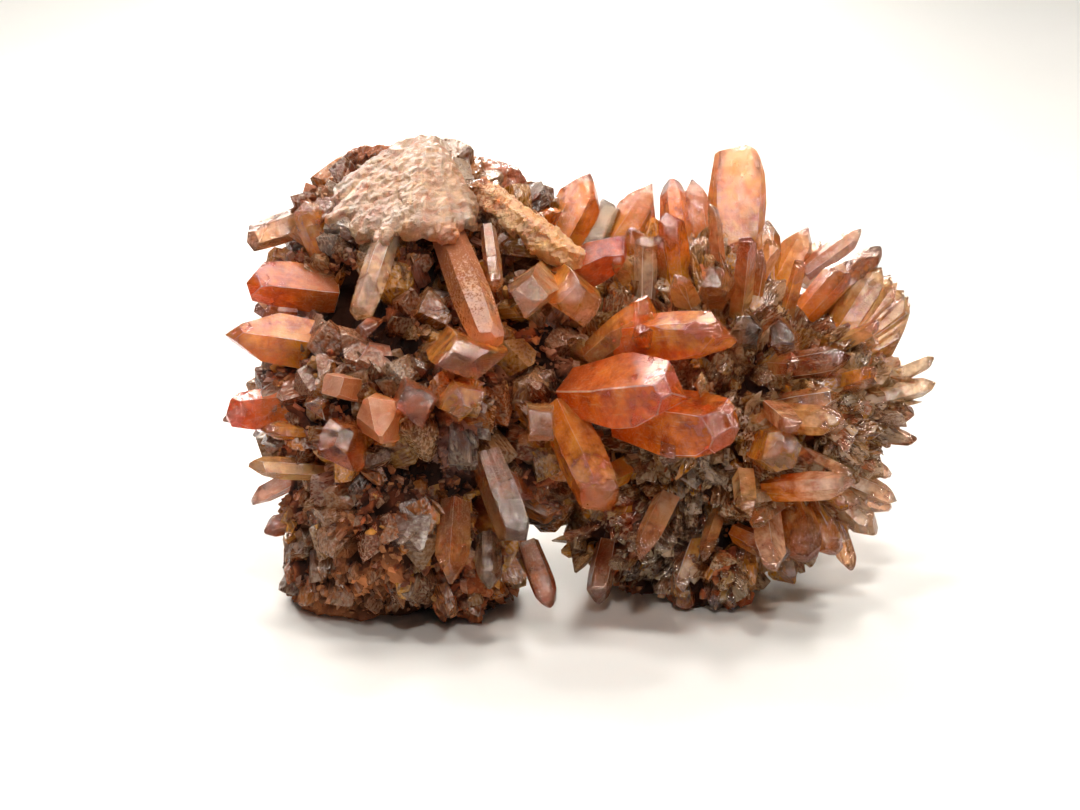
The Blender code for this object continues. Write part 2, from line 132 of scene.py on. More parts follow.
class Wire:
    """One output of a material's node, with which sums can be written as with numbers."""

    def __init__(self, tree, socket=None):
        self.tree = tree
        self.socket = socket

    def node(self, kind, settings=None, sockets=None, output=0):
        """Adds a node: first its settings, then the values or links of its sockets."""
        new = self.tree.nodes.new("ShaderNode" + kind)
        for name, value in (settings or {}).items():
            if name == "stops":
                for stop, (position, colour) in zip(stretch_ramp(new, len(value)), value):
                    stop.position = position
                    stop.color = (*colour, 1)
            else:
                setattr(new, name, value)
        for name, value in (sockets or {}).items():
            if isinstance(value, Wire):
                self.tree.links.new(value.socket, new.inputs[name])
            else:
                new.inputs[name].default_value = value
        return Wire(self.tree, new.outputs[output])

    def math(self, operation, *values):
        return self.node("Math", {"operation": operation}, dict(enumerate(values)))

    def __add__(self, other):
        return self.math("ADD", self, other)

    def __radd__(self, other):
        return self.math("ADD", other, self)

    def __sub__(self, other):
        return self.math("SUBTRACT", self, other)

    def __rsub__(self, other):
        return self.math("SUBTRACT", other, self)

    def __mul__(self, other):
        return self.math("MULTIPLY", self, other)

    def __rmul__(self, other):
        return self.math("MULTIPLY", other, self)

    def ramp(self, low, high, to_low=0.0, to_high=1.0):
        """This value eased from low..high to to_low..to_high."""
        places = {0: self, 1: low, 2: high, 3: to_low, 4: to_high}
        return self.node("MapRange", {"interpolation_type": "SMOOTHSTEP"}, places)

    def tint(self, share, other):
        """This colour, with a share of another colour over it."""
        return self.node("Mix", {"data_type": "RGBA"}, {0: share, 6: self, 7: other}, output=2)


def stretch_ramp(ramp_node, count):
    """The stops of a colour ramp, once there are enough of them."""
    stops = ramp_node.color_ramp.elements
    while len(stops) < count:
        stops.new(1.0)
    return stops


def new_finish(name):
    """A new material with an empty tree, and the wire that its nodes start from."""
    material = bpy.data.materials.new(name)
    material.use_nodes = True
    material.node_tree.nodes.clear()
    return material, Wire(material.node_tree)


def show(start, surface, volume=None):
    """Links the surface, and a volume where there is one, to the material's output."""
    out = start.tree.nodes.new("ShaderNodeOutputMaterial")
    start.tree.links.new(surface.socket, out.inputs["Surface"])
    if volume:
        start.tree.links.new(volume.socket, out.inputs["Volume"])


room = bpy.data.worlds.new("room")
bpy.context.scene.world = room
room.use_nodes = True
air = Wire(room.node_tree)
way = air.node("TexCoord", output="Generated")
towards = air.node("SeparateXYZ", {}, {0: way}, output="Y")
above = air.node("SeparateXYZ", {}, {0: way}, output="Z")
window = towards.ramp(0.35, 0.6) * above.ramp(0.1, 0.25) * 0.8
glow = towards.ramp(-0.4, 0.8, 0.12, 0.45) + above.ramp(0.0, 0.9, 0.0, 0.15) + window
room.node_tree.links.new(glow.socket, room.node_tree.nodes["Background"].inputs["Strength"])

bpy.ops.mesh.primitive_plane_add(size=6)
table = bpy.context.object
table.name = "table"
table_finish, start = new_finish("table_paper")
show(start, start.node("BsdfPrincipled", {}, {"Base Color": (0.86, 0.86, 0.86, 1), "Roughness": 0.6}))
table.data.materials.append(table_finish)


# The rock
# Two lobes of iron-stained rock, lumpy and broken, which everything else has grown on. It is a
# mass of crystal stumps and clay: the lumps are joined, then broken into chips by cell noise.

LUMPS = (
    ((-22, 29, 1), (17.5, 15, 18)),
    ((-22.5, 14, 0), (14.5, 13.5, 16)),
    ((-29, 9, 0), (7.5, 8, 11)),
    ((-14, 8.5, -1), (8.5, 8, 10)),
    ((-22, 45, 4), (15, 10, 13)),
    ((-27, 51, 4), (8.5, 6.5, 9)),
    ((-18, 52, 3), (10, 8, 9)),
    ((-9, 50, 4), (7.5, 6.5, 8)),
    ((-4, 31, 3), (9, 16, 13)),
    ((17, 29, 4), (15, 16, 16)),
    ((13, 40, 6), (12, 9, 11)),
    ((29, 29, 4), (9.5, 11.5, 11)),
    ((24, 17, 3), (9.5, 8, 9)),
    ((9, 14, 3), (9.5, 9, 9)),
    ((17, 8, 1), (6.5, 7, 7)),
)
HOLLOWS = (
    ((-27.5, 41, -16), (7, 8, 7.5)),
    ((3.5, 11, -11), (4.5, 4.5, 6)),
)
ROCK_ROUGHNESS = 0.2
ROCK_GRAIN = 0.5
CLEFT_DEPTH = 2.6
MIDDLE = Vector((0.5, 0.5, 0.5))
BROAD_CHIPS = 5.5
SMALL_CHIPS = 2.3
# Stained places on the show side: across, up and reach, then the colour
STAINED = (
    (-18.9, 56.5, 7.5, (0.75, 0.50, 0.33)),
    (-30.8, 52.8, 3.5, (0.75, 0.45, 0.27)),
    (-28.9, 49.5, 3.5, (0.45, 0.33, 0.28)),
    (-12.0, 53.0, 4.5, (0.75, 0.42, 0.24)),
    (-5.0, 49.0, 5.5, (0.80, 0.38, 0.16)),
    (-34.5, 42.8, 4.0, (0.70, 0.26, 0.11)),
    (-32.0, 40.0, 5.0, (0.50, 0.27, 0.20)),
    (-26.5, 36.5, 3.5, (0.68, 0.28, 0.14)),
    (-7.0, 32.3, 4.0, (0.70, 0.28, 0.14)),
    (-2.0, 34.0, 4.0, (0.60, 0.24, 0.13)),
    (-14.5, 22.8, 5.5, (0.26, 0.14, 0.12)),
    (-27.0, 5.0, 9.0, (0.66, 0.24, 0.09)),
    (-32.0, 14.0, 5.0, (0.55, 0.20, 0.075)),
    (16.3, 20.6, 3.8, (0.60, 0.48, 0.40)),
    (11.0, 11.5, 7.0, (0.36, 0.22, 0.15)),
    (5.1, 14.8, 3.2, (0.60, 0.10, 0.02)),
    (39.3, 24.6, 6.0, (0.52, 0.28, 0.18)),
    (28.0, 44.0, 5.0, (0.70, 0.38, 0.18)),
    (20.5, 30.0, 3.5, (0.24, 0.06, 0.025)),
)
# Clefts sunk into the show side, where the rock's colour is also darkened as painted shade: across, up
# and reach
CLEFTS = (
    (-27.5, 40.5, 6.0), (-16.5, 48.5, 2.6), (-22.5, 35.5, 3.0), (-35.0, 18.6, 2.6), (-27.5, 10.5, 3.0),
    (-24.5, 15.0, 2.0), (-15.8, 16.6, 2.2), (-9.5, 24.5, 3.0), (-3.0, 30.2, 2.2), (-0.8, 14.6, 2.4),
    (3.6, 11.2, 3.6), (3.2, 23.6, 1.8), (29.9, 20.3, 1.5), (-20.0, 31.8, 1.6), (21.5, 30.5, 2.2),
    (-6.5, 9.5, 2.4), (-1.0, 22.5, 2.4), (8.5, 5.5, 2.0), (14.5, 6.5, 1.8),
)


def as_seen(points):
    """Points of the part's frame given back as across, up and away."""
    from_base = points - BASE_POINT
    away = from_base @ AWAY
    spread = 1 + away / EYE_DISTANCE
    across = EYE_ACROSS + (from_base @ ACROSS - EYE_ACROSS) / spread
    up = EYE_UP + (from_base @ RISE - EYE_UP) / spread
    return np.stack((across, up, away), axis=1)


def on_show_side(points, normals):
    """How far points face the onlooker, from 0 to 1, and where they are seen."""
    return np.clip(0.5 - 1.5 * (normals @ AWAY), 0, 1), as_seen(points)


def nearness(place, spot):
    """How near places are to a round spot's middle: 1 there, 0 past its reach."""
    gap = np.hypot(place[:, 0] - spot[0], place[:, 1] - spot[1]) / spot[2]
    return np.clip(1.5 * (1 - gap), 0, 1)


def lump_mesh(centre, reach):
    """The points and faces of a rounded lump, as the part's source shapes it."""
    lump = bmesh.new()
    bmesh.ops.create_icosphere(lump, subdivisions=4, radius=1.0)
    places = []
    for vert in lump.verts:
        direction = vert.co.normalized()
        place = [c + r * d for c, r, d in zip(centre, reach, direction)]
        swell = 1 + ROCK_ROUGHNESS * noise.noise(Vector(place) * 0.23)
        places.append([c + r * d * swell for c, r, d in zip(centre, reach, direction)])
    faces = [tuple(vert.index for vert in face.verts) for face in lump.faces]
    lump.free()
    return seen(places), faces


def joined(parts):
    """Joins meshes given as points and faces."""
    points = []
    faces = []
    start_at = 0
    for more, shape in parts:
        points.append(more)
        faces.extend(tuple(corner + start_at for corner in face) for face in shape)
        start_at += len(more)
    return np.concatenate(points), faces


def make_piece(name, points, faces, finish=None):
    """A new object from points in millimetres, in the part's frame."""
    mesh = bpy.data.meshes.new(name)
    mesh.from_pydata(np.asarray(points) * MM, [], faces)
    piece = bpy.data.objects.new(name, mesh)
    bpy.context.scene.collection.objects.link(piece)
    if finish:
        mesh.materials.append(finish)
    return piece


def applied(piece, kind, **settings):
    """The piece with one modifier of a kind applied to its mesh."""
    modifier = piece.modifiers.new(kind.lower(), kind)
    for name, value in settings.items():
        setattr(modifier, name, value)
    evaluated = piece.evaluated_get(bpy.context.evaluated_depsgraph_get())
    old = piece.data
    piece.data = bpy.data.meshes.new_from_object(evaluated)
    piece.modifiers.clear()
    bpy.data.meshes.remove(old)
    return piece


def get_points(mesh):
    """A mesh's points in millimetres."""
    flat = np.zeros(len(mesh.vertices) * 3)
    mesh.vertices.foreach_get("co", flat)
    return flat.reshape(-1, 3) / MM


def get_normals(mesh):
    flat = np.zeros(len(mesh.vertices) * 3)
    mesh.vertex_normals.foreach_get("vector", flat)
    return flat.reshape(-1, 3)


def set_points(mesh, points):
    mesh.vertices.foreach_set("co", (points * MM).ravel())
    mesh.update()


def set_field(mesh, name, kind, values, domain="POINT"):
    """Stores one value for each point or face: FLOAT, FLOAT_VECTOR or FLOAT_COLOR."""
    key = {"FLOAT": "value", "FLOAT_VECTOR": "vector", "FLOAT_COLOR": "color"}[kind]
    values = np.asarray(values, np.float32)
    if kind == "FLOAT_COLOR":
        values = np.concatenate((values, np.ones((len(values), 1), np.float32)), axis=1)
    mesh.attributes.new(name, kind, domain).data.foreach_set(key, values.ravel())


def chipped(place, cell_size, seed):
    """How far chips of a size stand out at a place, from -1 to 1, and the chip's own chance."""
    place = Vector(place) / cell_size + Vector((seed, seed, seed))
    middle = noise.voronoi(place)[1][0]
    lie = noise.cell_vector(middle * 7.31)
    lift = 2 * noise.cell(middle * 3.77) - 1
    return 0.55 * lift + (Vector(lie) - MIDDLE).dot(place - middle) * 1.7, lift


hollow = make_piece("hollow", *joined(lump_mesh(*lump) for lump in HOLLOWS))
rock = make_piece("rock", *joined(lump_mesh(*lump) for lump in LUMPS))
rock = applied(rock, "REMESH", mode="VOXEL", voxel_size=ROCK_GRAIN * MM)
rock = applied(rock, "BOOLEAN", operation="DIFFERENCE", solver="FAST", object=hollow)
rock = applied(rock, "REMESH", mode="VOXEL", voxel_size=ROCK_GRAIN * MM)
bpy.data.objects.remove(hollow)
points = get_points(rock.data)
normals = get_normals(rock.data)
height = np.zeros(len(points))
chance = np.zeros(len(points))
for number, point in enumerate(points):
    broad, lift = chipped(point, BROAD_CHIPS, 3)
    middle, lift_two = chipped(point, SMALL_CHIPS, 11)
    fine = noise.noise(Vector(point) * 1.1)
    height[number] = 1.0 * broad + 0.62 * middle + 0.25 * fine - 0.5
    chance[number] = 0.5 + 0.3 * lift + 0.2 * lift_two
facing, where = on_show_side(points, normals)
stained = np.zeros(len(points))
stain = np.zeros((len(points), 3))
for spot in STAINED:
    share = facing * nearness(where, spot)
    stain += (spot[3] - stain) * share[:, None]
    stained += (1 - stained) * share
for spot in CLEFTS:
    height -= CLEFT_DEPTH * facing * nearness(where, spot)
points += normals * height[:, None]
points[:, 2] = np.maximum(points[:, 2], 0)
set_points(rock.data, points)
set_field(rock.data, "stand_out", "FLOAT", height)
set_field(rock.data, "chip", "FLOAT", chance)
set_field(rock.data, "stained", "FLOAT", stained)
set_field(rock.data, "stain", "FLOAT_COLOR", stain)
rock.data.shade_flat()

rock_finish, start = new_finish("iron_stained_clay")
place = start.node("TexCoord", output="Object")
stand_out = start.node("Attribute", {"attribute_name": "stand_out"}, output="Fac")
chip = start.node("Attribute", {"attribute_name": "chip"}, output="Fac")
cloud = start.node("TexNoise", {}, {"Vector": place, "Scale": 90, "Detail": 6, "Roughness": 0.65})
crumb = start.node("TexNoise", {}, {"Vector": place, "Scale": 900, "Detail": 5, "Roughness": 0.75})
stained = start.node("Attribute", {"attribute_name": "stained"}, output="Fac")
stain = start.node("Attribute", {"attribute_name": "stain"}, output="Color")
patch = chip * 0.55 + cloud * 0.45
earth = patch.node("ValToRGB", {"stops": (
    (0.25, (0.04, 0.010, 0.004)), (0.42, (0.15, 0.032, 0.010)), (0.55, (0.34, 0.08, 0.022)),
    (0.68, (0.46, 0.14, 0.05)), (0.8, (0.24, 0.085, 0.04)))}, {0: patch})
earth = earth.tint(stained * chip.ramp(0.2, 0.6, 0.6, 1.0), stain)
earth = earth.tint((crumb + stand_out * 0.1).ramp(0.45, 0.65, 0.0, 0.3), (0.6, 0.21, 0.08, 1))
# Painted shade: the deeper a place is sunk below the chips around it, the darker it is painted, deepest
# in the clefts
earth = earth.tint(stand_out.ramp(-2.4, -0.4, 0.92, 0.0), (0.035, 0.010, 0.004, 1))
relief = start.node("Bump", {}, {"Height": crumb, "Strength": 0.8, "Distance": 0.0003})
show(start, start.node("BsdfPrincipled", {}, {
    "Base Color": earth, "Roughness": chip.ramp(0.2, 0.8, 0.95, 0.6), "Normal": relief,
    "Specular IOR Level": 0.08}))
rock.data.materials.append(rock_finish)
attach(rock, "root")
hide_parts("matrix")


# The crystals of the left lobe
# Blocky to bladed crystals, frosted and half buried in clay, that radiate from the lobe. Each is
# a flattened prism of four or six sides with lengthwise ribs, cut off by its sloping end faces.
# Two slabs and a ridge at the top are grown over with a crust.

POINTED = ((0, 60, 0), (180, 60, 0), (270, 48, 0.05), (90, 48, 0.05))
CHISEL = ((270, 54, 0), (90, 54, 0), (15, 30, 0.10))
BLUNT = ((270, 40, 0), (10, 30, 0.04), (170, 22, 0.02))
SQUARE = ((270, 20, 0), (0, 15, 0))
ALMOND = ((0, 56, 0.05), (180, 52, 0.05), (270, 40, 0.03))
ROUNDED = ((0, 55, 0.14), (180, 55, 0.14), (0, 25, 0), (180, 25, 0), (270, 45, 0.10), (90, 45, 0.10))
RIB_DEPTH = 0.02
RING_SPACING = 2.0
EDGE_WIDTH = 0.13
CRUST_GRAIN = 0.3
CRUST_CHIPS = 0.5
FLOWING_CHIPS = 0.2
# How many points of the bare crystals each point of a crust takes its stain from
BLENDED = 14
FLOW_FINENESS = 14

FLAME = (0.86, 0.13, 0.006)
ORANGE = (0.88, 0.24, 0.016)
AMBER = (0.88, 0.36, 0.035)
GOLD = (0.80, 0.43, 0.12)
HONEY = (0.78, 0.43, 0.16)
CREAM = (0.85, 0.53, 0.30)
ROSE = (0.60, 0.19, 0.072)
TAN = (0.56, 0.23, 0.07)
BROWN = (0.26, 0.075, 0.022)
RUST = (0.45, 0.09, 0.022)
EMBER = (0.60, 0.13, 0.018)
MAUVE = (0.36, 0.16, 0.09)
GREY = (0.46, 0.34, 0.27)
OLIVE = (0.16, 0.09, 0.02)
SMOKE = (0.10, 0.07, 0.05)
CLEAR = (0.86, 0.60, 0.38)


def slice_off(bm, point, normal):
    """Cuts away what lies beyond a plane and closes the cut."""
    geometry = bm.verts[:] + bm.edges[:] + bm.faces[:]
    cut = bmesh.ops.bisect_plane(bm, geom=geometry, dist=1e-5, plane_co=point, plane_no=normal,
                                 clear_outer=True)
    rim = [edge for edge in cut["geom_cut"] if isinstance(edge, bmesh.types.BMEdge)]
    if rim:
        bmesh.ops.holes_fill(bm, edges=rim, sides=0)


def chip_off(bm, count, depth, pick):
    """Knocks small flats off the edges and corners of a shape."""
    for number in range(count):
        way = Vector(pick.gauss(0, 1) for axis in range(3))
        way.z = 0.6 * abs(way.z)
        way.normalize()
        reach = max(vert.co.dot(way) for vert in bm.verts)
        slice_off(bm, way * (reach - pick.uniform(0.3, 1) * depth), way)


def girth(width, thick, sides, pick):
    """The outline across a prism: a flattened rhomb or hexagon whose sides carry lengthwise ribs."""
    corners = []
    deep = thick / (2 * math.sin(math.radians(360 / sides)))
    rib_step = 0.2 if width > 4.5 else 0.4
    for number in range(sides):
        turn = math.radians(360 / sides * number + pick.uniform(-13, 13))
        reach = pick.uniform(0.88, 1.04)
        corners.append(Vector((0.5 * width * math.cos(turn), deep * math.sin(turn))) * reach)
    outline = []
    for corner, following in zip(corners, corners[1:] + corners[:1]):
        along = following - corner
        inward = Vector((-along.y, along.x)).normalized()
        outline.append(corner)
        share = 0
        while share < 0.85:
            share += rib_step * pick.uniform(0.7, 1.5)
            if share < 0.9:
                depth = pick.uniform(0, RIB_DEPTH) * min(width, 6) * math.sin(math.pi * share)
                outline.append(corner + along * share + inward * depth)
    return outline


def crystal_shape(root, tip, width, thick, end, roll, lean, foot, taper, chips, sides, pick):
    """One crystal's points and faces, the points in its own frame, and their place in the part's."""
    root = Vector(seen(root))
    tip = Vector(seen(tip))
    axis = (tip - root).normalized()
    length = (tip - root).length
    side = Vector(AWAY).cross(axis)
    if side.length < 0.2:
        side = Vector(RISE).cross(axis)
    side.normalize()
    side.rotate(Matrix.Rotation(math.radians(roll), 3, axis))
    own_frame = Matrix((side, axis.cross(side), axis)).transposed().to_4x4()
    own_frame.translation = root

    bm = bmesh.new()
    outline = girth(width, thick, sides, pick)
    rings = max(3, round(length / RING_SPACING))
    bend = Vector((0, 0))
    previous = None
    for ring in range(rings + 1):
        share = ring / rings
        wide = foot + (1 - foot) * min(share / 0.5, 1)
        wide *= 1 - taper * max(0, (share - 0.5) / 0.5) ** 2
        bend += Vector((pick.uniform(-1, 1), pick.uniform(-1, 1))) * 0.008 * width
        places = [(p.x * wide + bend.x, p.y * wide + bend.y, length * share) for p in outline]
        verts = [bm.verts.new(place) for place in places]
        if previous:
            for n in range(len(verts)):
                m = (n + 1) % len(verts)
                bm.faces.new((previous[n], previous[m], verts[m], verts[n]))
        else:
            bm.faces.new(reversed(verts))
        previous = verts
    bm.faces.new(previous)
    peak = Vector((lean * width / 2, 0, length))
    for compass, slope, setback in end:
        angle = math.radians(compass + pick.uniform(-16, 16))
        tilt = math.radians(slope + pick.uniform(-6, 6))
        normal = Vector((math.cos(angle), math.sin(angle), 0)) * math.sin(tilt)
        normal.z = math.cos(tilt)
        slice_off(bm, peak - Vector((0, 0, setback * width)), normal)
    chip_off(bm, chips, 0.1 * width, pick)
    bmesh.ops.remove_doubles(bm, verts=bm.verts, dist=0.005)
    bmesh.ops.dissolve_degenerate(bm, edges=bm.edges, dist=0.005)
    sharp = [edge for edge in bm.edges
             if len(edge.link_faces) == 2 and edge.calc_face_angle(0) > math.radians(28)]
    rounded = bmesh.ops.bevel(bm, geom=sharp, offset=EDGE_WIDTH, segments=1, affect="EDGES",
                              clamp_overlap=True)
    # The bevel's faces are the rims on which the finish paints a highlight
    highlight_rims = set(rounded["faces"])
    bm.normal_update()
    bmesh.ops.recalc_face_normals(bm, faces=bm.faces)
    bm.verts.index_update()
    own = np.array([vert.co for vert in bm.verts])
    faces = [tuple(vert.index for vert in face.verts) for face in bm.faces]
    rims = [face in highlight_rims for face in bm.faces]
    bm.free()
    placed = own @ np.array(own_frame.to_3x3()).T + np.array(root)
    placed[:, 2] = np.maximum(placed[:, 2], 0)
    return own, placed, faces, rims, length


def crystal(root, tip, width, thick, end, root_stain, tip_stain, dust=0.3, roll=0, lean=0, foot=0.85,
            taper=0.2, chips=4, sides=6):
    """Names one crystal's measures, its two colours and how much clay dust is on it."""
    return dict(root=root, tip=tip, width=width, thick=thick, end=end, roll=roll, lean=lean,
                foot=foot, taper=taper, chips=chips, sides=sides), root_stain, tip_stain, dust


def crusted(name, points, faces, fields, crust, flow_from):
    """The same solid grown over with a rough crust, with its fields blended over it. Where its parts
    flow down from one place, the crust is smooth and its grain runs along the flow."""
    tree = KDTree(len(points))
    for number, point in enumerate(points):
        tree.insert(point, number)
    tree.balance()
    piece = make_piece(name, points, faces)
    piece = applied(piece, "REMESH", mode="VOXEL", voxel_size=CRUST_GRAIN * MM)
    broken = CRUST_CHIPS
    if flow_from:
        broken = FLOWING_CHIPS
        piece = applied(piece, "SMOOTH", factor=0.5, iterations=2)
    places = get_points(piece.data)
    nearest = [[found[1] for found in tree.find_n(place, BLENDED)] for place in places]
    lift = [crust * (noise.noise(Vector(p) * 0.7) + 0.7 * noise.noise(Vector(p) * 1.7)
                     + broken * chipped(p, 1.3, 5)[0]) for p in places]
    set_points(piece.data, places + get_normals(piece.data) * np.array(lift)[:, None])
    fields = {field: np.concatenate(values)[nearest].mean(axis=1) for field, values in fields.items()}
    fields["grain"] = places
    if flow_from:
        flow = places - seen(flow_from)
        far = np.linalg.norm(flow, axis=1, keepdims=True)
        fields["grain"] = np.concatenate((FLOW_FINENESS * flow[:, :2] / (far + 1), far), axis=1)
    return piece, fields


def crystal_piece(name, members, finish, slot, node, crust=0, flow_from=None):
    """Makes the piece that stands for one crystal node."""
    pick = random.Random(name)
    shapes = []
    highlight_rims = []
    fields = {"grain": [], "reach": [], "root_stain": [], "tip_stain": [], "dust": []}
    for measures, root_stain, tip_stain, dust in members:
        own, placed, faces, rims, length = crystal_shape(**measures, pick=pick)
        shapes.append((placed, faces))
        highlight_rims.extend(rims)
        away = np.array([pick.uniform(-500, 500) for axis in range(3)])
        fields["grain"].append(own + away)
        fields["reach"].append(own[:, 2] / length)
        fields["root_stain"].append(np.tile(root_stain, (len(own), 1)))
        fields["tip_stain"].append(np.tile(tip_stain, (len(own), 1)))
        fields["dust"].append(np.full(len(own), dust))
    if crust:
        piece, fields = crusted(name, *joined(shapes), fields, crust, flow_from)
        piece.data.materials.append(finish)
    else:
        piece = make_piece(name, *joined(shapes), finish)
        fields = {field: np.concatenate(values) for field, values in fields.items()}
        # The rims carry a painted highlight in the finish
        set_field(piece.data, "rim", "FLOAT", highlight_rims, "FACE")
    kinds = ("FLOAT_VECTOR", "FLOAT", "FLOAT_COLOR", "FLOAT_COLOR", "FLOAT")
    for (field, values), kind in zip(fields.items(), kinds):
        set_field(piece.data, field, kind, values)
    piece.data.shade_flat()
    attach(piece, "root")
    if node:
        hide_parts(node)


def crystal_finish(name, swallowed, density, milky, frosted=0.03):
    """A see-through crystal: clear at the tip, stained and milky at the root, dusted with clay. Its
    upward faces get a painted sheen, and its bevelled rims a painted highlight.
    """
    material, start = new_finish(name)
    grain = start.node("Attribute", {"attribute_name": "grain"}, output="Vector")
    reach, dust, rim = (start.node("Attribute", {"attribute_name": field}, output="Fac")
                        for field in ("reach", "dust", "rim"))
    root_stain, tip_stain = (start.node("Attribute", {"attribute_name": field}, output="Color")
                             for field in ("root_stain", "tip_stain"))
    long_grain = start.node("VectorMath", {"operation": "MULTIPLY"}, {0: grain, 1: (1, 1, 0.15)})
    cloud = start.node("TexNoise", {}, {"Vector": grain, "Scale": 0.4, "Detail": 3, "Roughness": 0.6})
    wave = start.node("TexNoise", {}, {"Vector": grain, "Scale": 0.55, "Detail": 2, "Distortion": 0.8})
    veil = start.node("TexNoise", {}, {"Vector": grain, "Scale": 0.9, "Detail": 5, "Roughness": 0.65,
                                       "Distortion": 1.5})
    streak = start.node("TexNoise", {}, {"Vector": long_grain, "Scale": 2.2, "Detail": 4,
                                         "Roughness": 0.6})
    speck = start.node("TexNoise", {}, {"Vector": grain, "Scale": 3.5, "Detail": 6, "Roughness": 0.75})
    wisp = start.math("ABSOLUTE", veil - 0.5)
    upward = start.node("SeparateXYZ", {}, {0: start.node("NewGeometry", output="Normal")}, output="Z")
    towards_tip = (reach + cloud * 0.9 + streak * 0.3 - 0.6).ramp(0.1, 0.8)
    stain = root_stain.tint(towards_tip, tip_stain)
    stain = stain.tint((wave + cloud * 0.5).ramp(0.80, 0.55, 0.0, 0.5), (0.48, 0.065, 0.004, 1))
    stain = stain.tint(wisp.ramp(0.0, 0.02, 0.35, 0.0), (0.92, 0.6, 0.36, 1))
    stain = stain.tint(streak.ramp(0.55, 0.75, 0.0, 0.4), (0.92, 0.55, 0.25, 1))
    # Painted sheen: faces that point upward are tinted pale pink, as if they mirrored the light from
    # above
    stain = stain.tint(upward.ramp(0.2, 0.9, 0.0, 0.15), (0.72, 0.38, 0.22, 1))
    # Painted highlight: the bevelled rims are whitened in specks, as if they caught the light
    stain = stain.tint(rim * speck.ramp(0.3, 0.55, 0.25, 0.9), (1.0, 0.85, 0.68, 1))
    frost = (dust + speck * 0.4).ramp(0.15, 0.9, frosted, 0.4)
    height = wave * 0.22 + veil * 0.10 + streak * 0.08 + speck * 0.02
    relief = start.node("Bump", {}, {"Height": height, "Strength": 1.0, "Distance": 0.001})
    grit = start.node("Bump", {}, {"Height": speck, "Strength": 0.8, "Distance": 0.0003})
    clear = start.node("BsdfPrincipled", {}, {
        "Base Color": stain.tint(0.35, (1.0, 0.92, 0.82, 1)), "Roughness": frost, "IOR": 1.5,
        "Transmission Weight": 1.0, "Normal": relief})
    body = start.node("BsdfPrincipled", {"subsurface_method": "BURLEY"}, {
        "Base Color": stain, "Roughness": frost, "IOR": 1.5, "Normal": relief,
        "Specular IOR Level": 0.5 - frosted, "Subsurface Weight": 0.5,
        "Subsurface Radius": (1.0, 0.35, 0.1), "Subsurface Scale": 0.0012})
    clay = start.node("BsdfPrincipled", {}, {
        "Base Color": stain.tint(speck.ramp(0.3, 0.6, 0.5, 1.0), (0.42, 0.125, 0.042, 1)),
        "Roughness": 0.8, "Normal": grit, "Specular IOR Level": 0.15})
    cloudy = (1.0 - reach * 0.8 + cloud * 1.2 - 0.6).ramp(0.1, 0.9, milky ** 6, milky)
    dusty = (speck * 0.7 + veil * 0.5 + dust * 1.0 - reach * 0.3).ramp(0.85, 1.0, 0.0, 0.95)
    glassy = start.node("MixShader", {}, {0: cloudy, 1: clear, 2: body})
    surface = start.node("MixShader", {}, {0: dusty, 1: glassy, 2: clay})
    volume = start.node("VolumeAbsorption", {}, {"Color": (*swallowed, 1), "Density": density})
    show(start, surface, volume)
    return material


# Each kind's colour deep inside, how densely it is stained, how milky it is and how frosted
LOOKS = {
    "orange_crystal": ((0.98, 0.48, 0.10), 300, 0.75),
    "amber_crystal": ((0.98, 0.64, 0.20), 280, 0.6),
    "honey_crystal": ((0.97, 0.76, 0.42), 120, 0.7),
    "cream_crystal": ((0.97, 0.84, 0.66), 100, 0.93, 0.3),
    "brown_crystal": ((0.94, 0.55, 0.28), 220, 0.65),
    "mauve_crystal": ((0.92, 0.76, 0.62), 130, 0.5),
    "olive_crystal": ((0.80, 0.60, 0.28), 260, 0.5),
}
FINISHES = {slot: crystal_finish(slot, *look) for slot, look in LOOKS.items()}
CRUSTS = {"top_slab": 0.6, "dome_slab": 0.25, "long_ridge": 0.4}


def crystal_pieces(group):
    """Makes a group's pieces, one for each node, with a crust where it has one."""
    for node, (slot, members) in group.items():
        crystal_piece(node + "_crystal", members, FINISHES[slot], slot, node, CRUSTS.get(node, 0))


